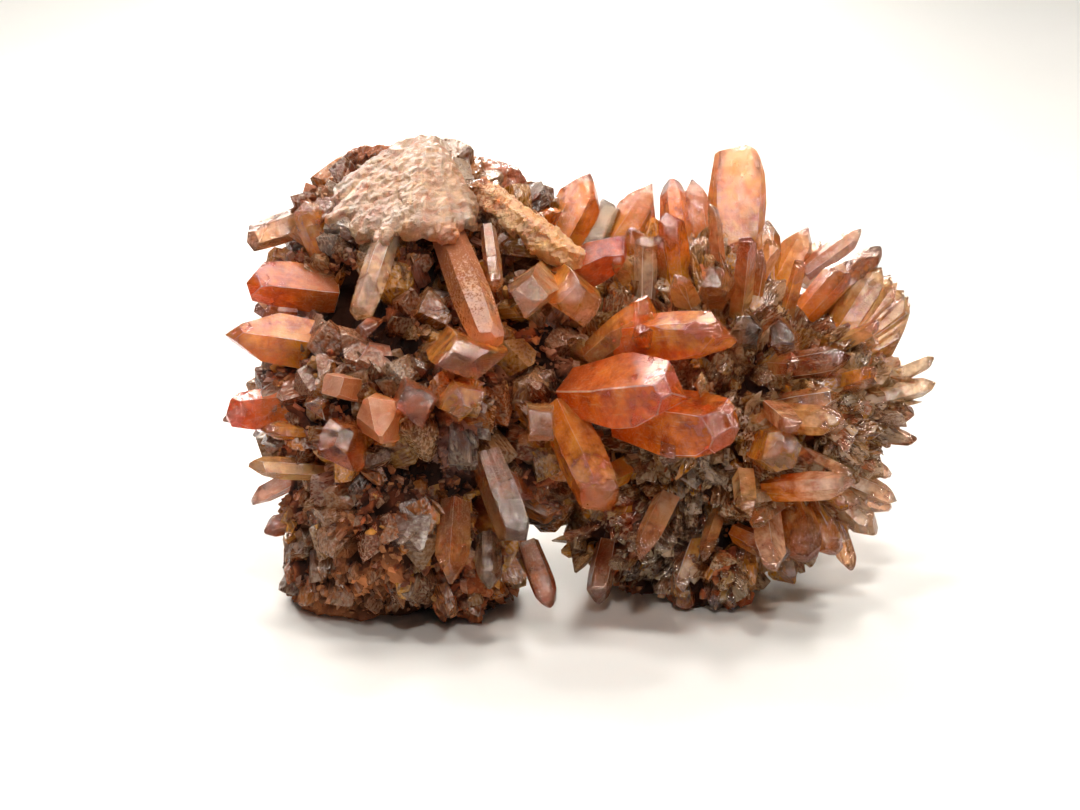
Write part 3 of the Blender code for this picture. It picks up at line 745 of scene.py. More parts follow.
LEFT_LOBE = {
    "left_tongue": ("amber_crystal", [
        crystal((-30, 52.8, 2), (-41.3, 48.8, 0), 4.2, 3.6, BLUNT, EMBER, TAN, 0.1)]),
    "top_slab": ("brown_crystal", [
        crystal((-19, 60.0, 7), (-29.8, 59.3, 5), 2.8, 6.5, ROUNDED, RUST, BROWN, 0.6)]),
    "dome_slab": ("brown_crystal", [
        crystal((-15, 58.6, 6), (-4.8, 55.4, 5), 4.4, 7.5, ROUNDED, RUST, ROSE, 0.35)]),
    "long_ridge": ("cream_crystal", [
        crystal((-13, 55.6, -2), (0.8, 45.6, -5), 5.4, 5.0, BLUNT, CREAM, HONEY, 0.35)]),
    "netted_blade": ("mauve_crystal", [
        crystal((-22.5, 53, -7), (-27.3, 39.2, -15), 3.8, 2.6, BLUNT, GREY, HONEY, 0.1)]),
    "centre_blade": ("brown_crystal", [
        crystal((-16, 50, -8), (-10.6, 35.8, -18), 5.2, 3.8, BLUNT, RUST, AMBER, 0.5)]),
    "pale_blocks": ("honey_crystal", [
        crystal((-4, 44, -2), (-5.6, 41.5, -16), 7.0, 7.0, SQUARE, AMBER, CREAM, 0.25, roll=20, sides=4),
        crystal((-2, 43.5, -2), (0.8, 40.5, -15), 7.0, 7.4, SQUARE, ORANGE, AMBER, 0.15,
                roll=50, sides=4)]),
    "left_block": ("orange_crystal", [
        crystal((-30, 42.6, -3), (-41.4, 43.8, -6), 6.8, 5.5, BLUNT, EMBER, ORANGE, 0.15, sides=4)]),
    "left_point": ("orange_crystal", [
        crystal((-30, 35.2, -6), (-44.5, 37.6, -9), 7.4, 5.6, POINTED, ORANGE, AMBER, 0.0, sides=4)]),
    "orange_lozenge": ("orange_crystal", [
        crystal((-31, 28.6, -7), (-43.9, 27.4, -10), 5.6, 5.0, BLUNT, ORANGE, FLAME, 0.1,
                sides=4, roll=20)]),
    "low_pale_blade": ("honey_crystal", [
        crystal((-31, 20.2, -7), (-41.3, 20.9, -10), 3.1, 3.4, POINTED, HONEY, GOLD, 0.1)]),
    "smoky_block": ("olive_crystal", [
        crystal((-26.5, 24.2, -11), (-30.5, 23.4, -20.5), 8.0, 6.0, BLUNT, ORANGE, EMBER, 0.0,
                roll=20, sides=4)]),
    "rhomb_block": ("cream_crystal", [
        crystal((-22.5, 27, -12), (-26.0, 26.2, -21.5), 7.4, 7.2, CHISEL, ORANGE, ROSE, 0.0,
                roll=20, sides=4)]),
    "cream_block": ("cream_crystal", [
        crystal((-26.5, 30.5, -11), (-30.5, 30.8, -19), 4.8, 4.4, SQUARE, HONEY, ROSE, 0.3,
                roll=35, sides=4)]),
    "brown_block": ("brown_crystal", [
        crystal((-20, 29, -13), (-20.5, 28.6, -21), 7.2, 7.0, SQUARE, RUST, ROSE, 0.3,
                roll=10, sides=4)]),
    "upper_front_block": ("amber_crystal", [
        crystal((-15, 36.0, -10), (-12.8, 33.6, -22), 10.2, 6.6, BLUNT, ORANGE, AMBER, 0.1,
                roll=-35, sides=4)]),
    "lower_front_block": ("orange_crystal", [
        crystal((-15, 29.8, -12), (-13.8, 28.6, -23), 7.8, 5.2, BLUNT, FLAME, AMBER, 0.1,
                roll=12, sides=4)]),
    "cube_block": ("honey_crystal", [
        crystal((-4.5, 26.8, -8), (-4.4, 25.6, -17), 5.8, 6.4, SQUARE, ORANGE, HONEY, 0.15,
                roll=40, sides=4)]),
    "olive_prism": ("amber_crystal", [
        crystal((-11.2, 22, -11), (-7.2, 11.3, -18), 5.8, 4.8, BLUNT, BROWN, OLIVE, 0.2,
                sides=4, roll=30)]),
    "brown_point": ("brown_crystal", [
        crystal((-15, 16.5, -12), (-15.7, 5.6, -16), 4.6, 3.8, POINTED, BROWN, TAN, 0.15, sides=4)]),
    "smoky_prism": ("olive_crystal", [
        crystal((-11, 12, -10), (-10.8, 5.2, -14), 3.4, 3.0, POINTED, SMOKE, GREY, 0.1)]),
    "hanging_amber": ("amber_crystal", [
        crystal((-2.2, 28, -8), (3.6, 15.4, -15), 6.4, 5.4, BLUNT, ORANGE, AMBER, 0.1, roll=15)]),
}
crystal_pieces(LEFT_LOBE)


# The crown
# Milky crystals that flow down from the top of the left lobe like a tent: two rows of blades,
# grown into one mass with a crust over it.

CROWN_TOP = (-18.9, 61.2, 2.0)
CROWN_HEM = (
    (-32.5, 53.4, -3.0), (-30.0, 50.2, -6.5), (-26.5, 48.4, -9.5), (-23.0, 48.6, -11.0),
    (-20.0, 49.8, -11.5), (-17.0, 48.8, -12.0), (-14.0, 49.2, -11.5), (-12.0, 51.6, -8.0),
)
MILK = (0.33, 0.185, 0.10)
MILKS = (MILK, GREY, MILK, MAUVE, TAN, MILK, CREAM)
CROWN_BLADES = 52
CROWN_CRUST = 0.25


def crown_blades():
    """Blades from the crown's top to points along its hem."""
    pick = random.Random(3)
    hem = np.array(CROWN_HEM)
    for number in range(CROWN_BLADES):
        along = number / (CROWN_BLADES - 1) * (len(hem) - 1)
        low = min(int(along), len(hem) - 2)
        end = hem[low] + (hem[low + 1] - hem[low]) * (along - low)
        top = np.array(CROWN_TOP) + ((end[0] - CROWN_TOP[0]) * 0.12, 0, 0)
        end = top + (end - top) * pick.uniform(0.72, 1.05)
        middle = top + (end - top) * 0.45 + (0, 0.3, -1.6)
        stains = MILKS[number * 3 % len(MILKS)], MILKS[number * 5 % len(MILKS)]
        yield crystal(tuple(top), tuple(middle), 2.6, 3.2, BLUNT, MILK, stains[0], 0.05, foot=0.7)
        overlap = middle + (top - middle) * 0.2
        yield crystal(tuple(overlap), tuple(end), pick.uniform(1.6, 2.6), 3.0, BLUNT, *stains, 0.12,
                      foot=1.1)


crystal_piece("crown_crystals", list(crown_blades()), FINISHES["cream_crystal"], "cream_crystal",
              "crown_sheaf", CROWN_CRUST, flow_from=CROWN_TOP)


# The crystals of the right lobe
# Longer, glassier blades and prisms with clear tips, in sprays. The big orange blades stand out
# at the front, and the pale ones fan out at the right.

RIGHT_LOBE = {
    "amber_left_prism": ("amber_crystal", [
        crystal((-3.2, 47, 3), (2.4, 58.3, 3), 6.0, 4.6, ROUNDED, AMBER, ORANGE, 0.1)]),
    "dark_olive_prism": ("olive_crystal", [
        crystal((0.5, 46, 7), (4.7, 53.5, 7), 4.2, 4.0, SQUARE, OLIVE, OLIVE, 0.1)]),
    "pink_top_prism": ("amber_crystal", [
        crystal((5, 48, 8), (9.9, 56.8, 8), 5.2, 4.2, ROUNDED, AMBER, ROSE, 0.1)]),
    "twin_pillar": ("brown_crystal", [
        crystal((13.2, 45, 6), (12.0, 57.7, 5), 4.6, 4.4, ROUNDED, TAN, ORANGE, 0.05),
        crystal((15.8, 45, 7), (14.4, 57.3, 6), 4.6, 4.4, ROUNDED, ORANGE, ROSE, 0.05)]),
    "front_pillar": ("amber_crystal", [
        crystal((12.8, 42.6, -3), (11.6, 52.3, -5), 3.9, 3.4, BLUNT, AMBER, ORANGE, 0.05)]),
    "slanted_block": ("orange_crystal", [
        crystal((-0.6, 44.5, -1), (6.6, 48.6, -6), 5.6, 5.0, CHISEL, ROSE, FLAME, 0.0, sides=4)]),
    "tall_prism": ("amber_crystal", [
        crystal((20.3, 46, 6), (20.3, 61.2, 7), 8.0, 5.4, BLUNT, TAN, AMBER, 0.0, lean=0.3)]),
    "top_pair": ("amber_crystal", [
        crystal((24.2, 43.5, 4), (24.0, 51.8, 4), 3.6, 3.2, POINTED, AMBER, TAN, 0.1),
        crystal((25.2, 43.5, 5), (29.5, 51.4, 5), 4.8, 4.0, ROUNDED, AMBER, TAN, 0.1)]),
    "upper_right_tip": ("brown_crystal", [
        crystal((28.5, 45, 4), (35.9, 50.5, 4), 3.0, 3.0, POINTED, RUST, TAN, 0.2)]),
    "twin_right_tips": ("brown_crystal", [
        crystal((29.4, 39.6, 0), (38.4, 48.4, 1), 3.6, 3.6, POINTED, AMBER, BROWN, 0.05),
        crystal((28.4, 39.8, -2), (34.6, 46.8, -4), 3.8, 3.6, POINTED, ORANGE, TAN, 0.05)]),
    "yellow_fan": ("honey_crystal", [
        crystal((32 + 0.1 * n, 35.8 - 0.25 * n, 0.3 * n - 1), (38.6 + 2.3 * math.sin(0.35 * n) + 0.3 * n,
                46.2 - 0.95 * n, 0.25 * n), 5.0, 3.0, ROUNDED, AMBER, (HONEY, GOLD)[n % 2], 0.0, foot=0.8)
        for n in range(9)]),
    "pointed_pair": ("honey_crystal", [
        crystal((33, 29.2, 1), (44.9, 34.4, 2), 3.0, 2.8, POINTED, CLEAR, CLEAR, 0.0),
        crystal((33, 28.2, 0), (45.1, 31.2, 2), 3.2, 2.8, POINTED, CLEAR, CLEAR, 0.0)]),
    "upper_orange_blade": ("orange_crystal", [
        crystal((5.5, 36.6, -9), (19.8, 37.0, -18), 7.4, 6.0, ALMOND, FLAME, AMBER, 0.0,
                roll=-20, sides=4)]),
    "front_blades": ("orange_crystal", [
        crystal((-1.0, 30.0, -8), (12.4, 29.6, -21), 10.4, 8.0, BLUNT, FLAME, ORANGE, 0.0,
                foot=0.6, roll=-10, sides=4),
        crystal((5.4, 27.4, -8), (19.9, 25.4, -20), 10.0, 7.6, BLUNT, FLAME, ORANGE, 0.0,
                foot=0.7, roll=-8, sides=4)]),
    "pale_yellow_blade": ("honey_crystal", [
        crystal((2.0, 34.4, -7), (9.9, 41.0, -13), 5.2, 4.0, CHISEL, TAN, AMBER, 0.0)]),
    "tabular_blade": ("honey_crystal", [
        crystal((17.4, 41.5, -4), (17.8, 43.8, -13), 5.2, 4.4, BLUNT, TAN, TAN, 0.0)]),
    "eye_crystal": ("mauve_crystal", [
        crystal((21.4, 37.0, -8), (21.4, 38.0, -16), 4.6, 4.2, BLUNT, SMOKE, SMOKE, 0.0)]),
    "rimmed_blade": ("mauve_crystal", [
        crystal((26.6, 36.4, -5), (25.6, 36.6, -14), 4.2, 5.0, BLUNT, ORANGE, MAUVE, 0.0, roll=20)]),
    "brown_right_blades": ("brown_crystal", [
        crystal((25.0, 32.8, -5), (34.8, 34.4, -9), 4.0, 3.2, POINTED, BROWN, MAUVE, 0.0),
        crystal((25.5, 31.6, -4), (38.0, 31.4, -7), 3.4, 3.2, POINTED, BROWN, TAN, 0.0)]),
    "tan_blades": ("honey_crystal", [
        crystal((21.6, 27.2, -9), (33.9, 26.4, -14), 4.2, 3.0, POINTED, TAN, HONEY, 0.0),
        crystal((22.6, 27.8, -8), (33.4, 29.6, -12), 3.6, 3.0, POINTED, BROWN, TAN, 0.0)]),
    "low_orange_block": ("orange_crystal", [
        crystal((23.0, 23.4, -6), (26.0, 22.4, -17), 6.6, 5.2, BLUNT, ORANGE, AMBER, 0.0)]),
    "pointed_orange": ("orange_crystal", [
        crystal((23.8, 18.0, -8), (35.2, 18.9, -14), 3.9, 3.4, POINTED, ORANGE, CLEAR, 0.0)]),
    "low_fingers": ("mauve_crystal", [
        crystal((25.0, 17.2, -4), (20.2, 16.6, -14), 2.9, 2.8, ROUNDED, GREY, CLEAR, 0.0),
        crystal((25.4, 16.0, -4), (22.2, 13.6, -13), 2.6, 2.4, ROUNDED, TAN, CLEAR, 0.0)]),
    "striated_spray": ("amber_crystal", [
        crystal((26.4, 17.5, -2), (28.8, 9.2, -8), 5.2, 4.0, BLUNT, ORANGE, TAN, 0.0),
        crystal((28.2, 17.5, -1), (32.4, 9.8, -5), 3.8, 3.4, BLUNT, OLIVE, AMBER, 0.0)]),
    "low_right_tips": ("mauve_crystal", [
        crystal((30.5, 19.0, 1), (37.9, 11.6, -2), 3.8, 3.2, ROUNDED, TAN, CLEAR, 0.0),
        crystal((30.6, 18.6, 1.6), (34.6, 7.4, 2), 2.8, 2.4, POINTED, TAN, AMBER, 0.0)]),
}
crystal_pieces(RIGHT_LOBE)


# The lamps that the big faces mirror
# A few big faces flash white. For each a hard lamp hangs where that face mirrors it to the eye. A
# face is given by its node and a place on the show side, across and up; the lamp by its breadth.

FLASHES = (
    ("front_blades", 9.4, 31.8, 130), ("front_blades", 16.0, 27.2, 60),
    ("upper_orange_blade", 13.5, 38.6, 80), ("tabular_blade", 17.2, 44.5, 80),
)
FLASH_WATTS = 3.0
FULL_BREADTH = 130


def flash_lamp(number, piece, across, up, breadth):
    """Hangs a hard lamp where the face at a place of the show side mirrors it to the eye."""
    eye = Vector(picture_centre - EYE_DISTANCE * AWAY)
    glance = (Vector(seen((across, up, 0))) - eye).normalized()
    normal = piece.ray_cast(eye * MM, glance)[2]
    mirrored = glance - 2 * glance.dot(normal) * normal
    climb = math.degrees(math.asin(mirrored.z))
    turn = math.degrees(math.atan2(mirrored.y, mirrored.x))
    hang(f"flash_lamp_{number}", breadth, FLASH_WATTS * (breadth / FULL_BREADTH) ** 2, climb, turn)


bpy.context.view_layer.update()
for number, (node, *place) in enumerate(FLASHES):
    flash_lamp(number, bpy.data.objects[node + "_crystal"], *place)


# The crystals of the back
# The same kinds of blade and prism as on the show side, on the side away from the onlooker. They
# are fewer and stand freer.

BACK = {
    "back_left_blade": ("brown_crystal", [
        crystal((-25, 35, 14), (-31, 40, 26), 6.2, 4.2, BLUNT, RUST, ROSE, 0.3)]),
    "back_left_point": ("amber_crystal", [
        crystal((-15, 31, 14), (-13, 33, 28), 6.4, 5.0, POINTED, ORANGE, AMBER, 0.2)]),
    "back_low_point": ("brown_crystal", [
        crystal((-27, 21, 11), (-34, 20, 22), 5.0, 4.4, POINTED, BROWN, TAN, 0.3)]),
    "back_top_prism": ("cream_crystal", [
        crystal((-20, 49, 10), (-23, 56, 19), 5.0, 4.0, ROUNDED, CREAM, CLEAR, 0.2)]),
    "back_waist_blade": ("amber_crystal", [
        crystal((-3, 34, 12), (0, 39, 26), 6.0, 4.2, POINTED, AMBER, GOLD, 0.1)]),
    "back_right_blades": ("honey_crystal", [
        crystal((15, 39, 12), (12, 49, 27), 5.2, 3.8, POINTED, AMBER, CLEAR, 0.0),
        crystal((17, 38, 12), (25, 44, 29), 6.4, 4.4, BLUNT, AMBER, HONEY, 0.0)]),
    "back_right_point": ("orange_crystal", [
        crystal((16, 31, 14), (14, 33, 32), 6.2, 5.0, POINTED, FLAME, ORANGE, 0.0)]),
    "back_far_blade": ("amber_crystal", [
        crystal((27, 27, 12), (37, 28, 24), 5.4, 4.0, POINTED, ORANGE, CLEAR, 0.0)]),
    "back_low_blades": ("mauve_crystal", [
        crystal((15.5, 24, 10), (25, 20.5, 25), 5.2, 4.2, BLUNT, TAN, CLEAR, 0.0),
        crystal((13.5, 24, 10), (5, 20.5, 24), 4.6, 4.0, POINTED, BROWN, TAN, 0.0)]),
}
crystal_pieces(BACK)


# The small crystals fused to the rock
# The same minerals, too small to stand alone: those that the part's source grows on each lobe, but
# for a few that would hide a big one, and the measured little ones at the specimen's edges.

DRUSE = (
    (75, (-22, 30, 3), (17, 28, 17), (4.6, 7.4), (3.4, 5.6)),
    (78, (17, 29, 4), (19, 20, 17), (7.0, 11.0), (2.6, 4.2)),
)
DRUSE_DEPTH = 0.86
LEAST_CLEARANCE = 3.0
SMALL_DUST = (0.25, 0.0)
# None stands on the show side before the crown and the big blades: across, up and reach
BARE = (
    (9.0, 36.5, 1.5), (5.4, 26.8, 1.5), (-19.0, 56.5, 7.0), (-15.5, 45.0, 3.8), (-25.5, 46.5, 3.0),
    (-35.0, 51.3, 2.5), (-37.0, 40.4, 2.0),
)
# The one that would stand before the tall prism is left out: its lobe and number
HIDDEN = (1, 0)
WEDGE = ((0, 56, 0), (180, 44, 0), (270, 40, 0.06))
LEFT_STAINS = (RUST, BROWN, EMBER, BROWN, RUST, AMBER, ROSE)
BLOCK_STAINS = (ORANGE, EMBER, AMBER, BROWN, RUST, TAN, ORANGE)
RIGHT_STAINS = (TAN, HONEY, ROSE, HONEY, TAN, AMBER, CREAM)


def small_crystals():
    """The seeded small crystals that radiate from the two lobes' centres."""
    pick = random.Random(41)
    for lobe, (count, centre, reach, lengths, widths) in enumerate(DRUSE):
        stains = (LEFT_STAINS, RIGHT_STAINS)[lobe]
        for number in range(count):
            height = 1 - 2 * (number + 0.5) / count
            turn = number * math.pi * (3 - math.sqrt(5))
            ring = math.sqrt(1 - height * height)
            direction = Vector((ring * math.cos(turn), height, ring * math.sin(turn)))
            direction += Vector(pick.uniform(-0.12, 0.12) for axis in range(3))
            begin = Vector(centre) + Vector(d * r * DRUSE_DEPTH for d, r in zip(direction, reach))
            outward = Vector(d / r for d, r in zip(direction, reach)).normalized()
            outward += Vector(pick.uniform(-0.35, 0.35) for axis in range(3))
            tip = begin + outward * pick.uniform(*lengths)
            width = pick.uniform(*widths)
            if seen(tip)[2] > LEAST_CLEARANCE:
                thick = width * pick.uniform(0.5, 0.9)
                first, second = stains[number % len(stains)], stains[number * 3 % len(stains)]
                small = crystal(begin, tip, width, thick, WEDGE, first, second, SMALL_DUST[lobe],
                                roll=pick.uniform(0, 180), foot=1.0, sides=4)
                bare = any(math.hypot(tip.x - x, tip.y - y) < reach for x, y, reach in BARE)
                if (lobe, number) != HIDDEN and (tip.z > 0 or not bare):
                    yield small


FUSED = (
    crystal((-31.5, 47, -3), (-34.3, 54, -5), 4.2, 3.0, BLUNT, ORANGE, AMBER),
    crystal((-31.5, 52, 5), (-34, 56.6, 4), 3.2, 3.2, ROUNDED, RUST, ROSE, 0.7),
    crystal((-11, 50.5, -6), (-10, 43, -13), 2.3, 2.2, BLUNT, MAUVE, TAN, 0.1),
    crystal((-32, 24.8, -8), (-39.6, 25.4, -11), 2.6, 3.2, POINTED, ORANGE, AMBER, 0.2),
    crystal((8.6, 41.0, -3), (8.8, 49.6, -4), 3.2, 3.2, BLUNT, GREY, CLEAR, 0.0),
    crystal((22.2, 41.0, -3), (23.2, 48.0, -6), 2.1, 1.8, POINTED, TAN, BROWN, 0.0),
    crystal((31, 20.5, 1), (40.6, 16.2, 2), 3.4, 3.2, ROUNDED, TAN, CLEAR, 0.0),
    crystal((24.8, 14.0, 1), (27.2, 5.4, 0), 3.6, 3.2, ROUNDED, SMOKE, GREY, 0.0),
    crystal((-6, 11, -5), (-3.0, 2.9, -9), 3.5, 3.0, POINTED, BROWN, RUST, 0.1),
    crystal((4, 11, 0), (2.6, 4.0, -5), 3.6, 3.2, BLUNT, BROWN, MAUVE, 0.1),
    crystal((13, 9, 0), (13.6, 2.6, -3), 3.4, 3.2, BLUNT, MAUVE, TAN, 0.0),
    crystal((18, 10, 0), (17.4, 2.4, -4), 2.6, 2.8, ROUNDED, MAUVE, GREY, 0.0),
    crystal((19, 10, 0), (19.6, 2.4, -4), 2.8, 2.8, ROUNDED, MAUVE, GREY, 0.0),
    crystal((20, 12.5, -4), (26.0, 9.6, -9), 3.2, 3.0, SQUARE, ORANGE, MAUVE, 0.1),
    crystal((28.5, 22.6, -8), (34.6, 19.5, -14), 1.5, 1.2, POINTED, GREY, CLEAR, 0.0),
)
crystal_piece("small_crystals", [*FUSED, *small_crystals()], FINISHES["brown_crystal"],
              "brown_crystal", None)


# The druse
# Thousands of little crystals that crust the rock between the big ones: blocky and stained on the
# left lobe, with dull dusty ones between, and long, clear and closely packed on the right one.

RIGHT_BRIGHTNESS = 0.96
LEFT_BRIGHTNESS = 0.62
STAIN_SPREAD = 0.25


def little_shape(sides, slopes, chips, pick):
    """A crystal one wide, one thick and one long, in triangles: a prism cut off by sloping faces."""
    bm = bmesh.new()
    turns = [math.radians(360 / sides * number + pick.uniform(-18, 18)) for number in range(sides)]
    rings = []
    for height, breadth in ((0, 0.42), (1, 0.5)):
        reaches = [breadth * pick.uniform(0.9, 1.1) for turn in turns]
        rings.append([bm.verts.new((reach * math.cos(turn), reach * math.sin(turn), height))
                      for turn, reach in zip(turns, reaches)])
    for n in range(sides):
        m = (n + 1) % sides
        bm.faces.new((rings[0][n], rings[0][m], rings[1][m], rings[1][n]))
    bm.faces.new(reversed(rings[0]))
    bm.faces.new(rings[1])
    compass = pick.uniform(0, 6.28)
    for slope in slopes:
        fall = slope + pick.uniform(-0.12, 0.12)
        normal = Vector((fall * math.cos(compass), fall * math.sin(compass), 0.35))
        slice_off(bm, Vector((0, 0, 1)), normal)
        compass += math.pi + pick.uniform(-0.6, 0.6)
    chip_off(bm, chips, 0.12, pick)
    bmesh.ops.remove_doubles(bm, verts=bm.verts, dist=0.01)
    bmesh.ops.triangulate(bm, faces=bm.faces)
    bmesh.ops.recalc_face_normals(bm, faces=bm.faces)
    points = np.array([vert.co for vert in bm.verts])
    faces = np.array([[vert.index for vert in face.verts] for face in bm.faces])
    bm.free()
    return points, faces


def spread_over(mesh, count, pick):
    """Random places on a mesh, even over its area, with the way out at each."""
    mesh.calc_loop_triangles()
    corners = np.zeros(3 * len(mesh.loop_triangles), np.int32)
    mesh.loop_triangles.foreach_get("vertices", corners)
    first, second, third = (get_points(mesh)[corners.reshape(-1, 3)[:, n]] for n in range(3))
    outward = np.cross(second - first, third - first)
    area = np.linalg.norm(outward, axis=1) + 1e-9
    chosen = pick.choice(len(area), count, p=area / area.sum())
    one, two = pick.random((2, count, 1))
    fold = one + two > 1
    one, two = np.where(fold, 1 - one, one), np.where(fold, 1 - two, two)
    places = first[chosen] * (1 - one - two) + second[chosen] * one + third[chosen] * two
    return places, outward[chosen] / area[chosen, None]


def unit(vectors):
    return vectors / np.maximum(np.linalg.norm(vectors, axis=1, keepdims=True), 1e-9)


def set_out(shapes, places, ways, breadths, pick):
    """Copies of little shapes, each at its own place, pointing its own way, at its own breadths."""
    kinds = pick.integers(len(shapes), size=len(places))
    turn = unit(np.cross(ways, pick.normal(size=ways.shape)))
    frames = np.stack((turn, np.cross(ways, turn), ways), axis=2)
    points, faces, own_points, owners = [], [], [], []
    start_at = 0
    for kind, (shape, corners) in enumerate(shapes):
        mine = np.flatnonzero(kinds == kind)
        own = shape[None] * breadths[mine][:, None, :]
        placed = np.einsum("nij,nkj->nki", frames[mine], own) + places[mine][:, None, :]
        offsets = start_at + np.arange(len(mine)) * len(shape)
        faces.append((corners[None] + offsets[:, None, None]).reshape(-1, 3))
        points.append(placed.reshape(-1, 3))
        own_points.append(own.reshape(-1, 3))
        owners.append(np.repeat(mine, len(shape)))
        start_at += len(mine) * len(shape)
    return [np.concatenate(parts) for parts in (points, faces, own_points, owners)]


def choose_stains(places, ways, palette, pick):
    """A stain for each place: the stained spot's own colour where it is in one, else the palette's."""
    palette = np.array(palette)
    stains = palette[pick.integers(len(palette), size=len(places))]
    facing, where = on_show_side(places, ways)
    for spot in STAINED:
        inside = pick.random(len(places)) < 0.85 * facing * nearness(where, spot)
        stains[inside] = spot[3]
    stains = stains * np.where(where[:, :1] > 0, RIGHT_BRIGHTNESS, LEFT_BRIGHTNESS)
    return stains * np.exp(pick.normal(0, STAIN_SPREAD, (len(places), 1)))


def druse_piece(name, shapes, places, ways, breadths, stains, dust, finish, pick):
    """Makes one piece of many little crystals."""
    points, faces, own, owners = set_out(shapes, places, ways, breadths, pick)
    piece = make_piece(name, points, faces.tolist(), finish)
    away = pick.uniform(-500, 500, (len(places), 3))
    set_field(piece.data, "grain", "FLOAT_VECTOR", own + away[owners])
    set_field(piece.data, "reach", "FLOAT", np.clip(own[:, 2] / breadths[owners, 2], 0, 1))
    set_field(piece.data, "tip_stain", "FLOAT_COLOR", stains[owners])
    set_field(piece.data, "dust", "FLOAT", dust[owners])
    piece.data.shade_flat()
    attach(piece, "root")


def druse_finish(name, see_through, gloss, pale, shine):
    """A plainer crystal for the druse: stained, streaked, part see-through, with painted shade towards
    its root and a painted sheen on its upward faces.
    """
    material, start = new_finish(name)
    grain = start.node("Attribute", {"attribute_name": "grain"}, output="Vector")
    reach, dust = (start.node("Attribute", {"attribute_name": field}, output="Fac")
                   for field in ("reach", "dust"))
    stain = start.node("Attribute", {"attribute_name": "tip_stain"}, output="Color")
    long_grain = start.node("VectorMath", {"operation": "MULTIPLY"}, {0: grain, 1: (1, 1, 0.2)})
    veil = start.node("TexNoise", {}, {"Vector": grain, "Scale": 0.7, "Detail": 3, "Distortion": 1.0})
    streak = start.node("TexNoise", {}, {"Vector": long_grain, "Scale": 3.0, "Detail": 3})
    upward = start.node("SeparateXYZ", {}, {0: start.node("NewGeometry", output="Normal")}, output="Z")
    stain = stain.tint(veil.ramp(0.52, 0.34, 0.0, 0.75), (0.14, 0.026, 0.005, 1))
    # Painted shade: each little crystal darkens towards its root, where it meets the rock and its
    # neighbours
    stain = stain.tint(reach.ramp(0.0, 0.5, 0.55, 0.0), (0.10, 0.02, 0.005, 1))
    stain = stain.tint((streak + reach * 0.25).ramp(0.6, 0.85, 0.0, pale), (0.96, 0.70, 0.44, 1))
    # Painted sheen: faces that point upward are tinted pale pink, as if they mirrored the light from
    # above
    stain = stain.tint(upward.ramp(0.2, 0.9, 0.0, 0.12), (0.72, 0.36, 0.20, 1))
    relief = start.node("Bump", {}, {"Height": veil * 0.6 + streak * 0.08, "Strength": 1.0,
                                     "Distance": 0.001})
    show(start, start.node("BsdfPrincipled", {}, {
        "Base Color": stain, "Roughness": (dust + streak * 0.3).ramp(0.1, 0.8, gloss, 0.6), "IOR": 1.5,
        "Specular IOR Level": shine, "Transmission Weight": see_through, "Normal": relief}))
    return material


CLEAR_DRUSE = druse_finish("clear_druse", 0.65, 0.02, 0.7, 0.5)
DULL_DRUSE = druse_finish("dull_druse", 0.12, 0.3, 0.15, 0.15)
AMBER_DRUSE = druse_finish("amber_druse", 0.4, 0.08, 0.3, 0.3)
# Where only the fine druse grows on the right lobe: across, up and reach
FINE_PATCH = (11.0, 12.0, 11.0)
FINE_LENGTH = 5
# How deep in a cleft the rock stays bare of druse, and of crumbs
BARE_OF_DRUSE = 0.35
BARE_OF_CRUMBS = 0.5
BUNDLE_FINENESS = 0.28
pick = random.Random(7)
BLADES = [little_shape(4, (0.75, 0.6, 0.3), 2, pick) for number in range(6)]
BLOCKS = [little_shape(4, (0.3, 0.2), 3, pick) for number in range(6)]
PRISMS = [little_shape(6, (0.45, 0.3), 2, pick) for number in range(6)]
LOBE_CENTRES = seen(((-22, 32, 3), (17, 29, 4)))


def grow(name, shapes, count, lobe, widths, flatness, lengths, bury, jumble, palette, dusts, finish,
         seed):
    """Grows little crystals over one lobe, in bundles that point nearly the same way."""
    chance = np.random.default_rng(seed)
    places, outs = spread_over(rock.data, count, chance)
    on_right = as_seen(places)[:, 0] > 0
    radial = unit(places - LOBE_CENTRES[lobe])
    facing, where = on_show_side(places, radial)
    in_cleft = sum(facing * nearness(where, spot) for spot in CLEFTS) > BARE_OF_DRUSE
    kept = (on_right == (lobe == 1)) & ~in_cleft & (places[:, 2] > 2)
    if lengths[1] > FINE_LENGTH:
        kept &= facing * nearness(where, FINE_PATCH) < 0.3
    places, outs, radial, count = places[kept], outs[kept], radial[kept], kept.sum()
    bundle = np.array([Vector(noise.cell_vector(Vector(place) * BUNDLE_FINENESS)) - MIDDLE
                       for place in places])
    ways = unit(0.8 * radial + 0.3 * outs + jumble * bundle + chance.normal(0, 0.18, places.shape))
    small = chance.random(count) ** 1.7
    wide = widths[0] + (widths[1] - widths[0]) * small
    long = lengths[0] + (lengths[1] - lengths[0]) * (0.6 * small + 0.4 * chance.random(count))
    breadths = np.stack((wide, wide * chance.uniform(*flatness, count), long), axis=1)
    stains = choose_stains(places, radial, palette, chance)
    dust = chance.uniform(*dusts, count)
    level = np.hypot(ways[:, 0], ways[:, 1])
    lowest = places[:, 2] + (1 - bury) * long * np.minimum(ways[:, 2], 0) - 0.6 * wide * level
    kept = lowest > 0
    roots = places - ways * long[:, None] * bury
    druse_piece(name, shapes, roots[kept], ways[kept], breadths[kept], stains[kept], dust[kept], finish,
                chance)


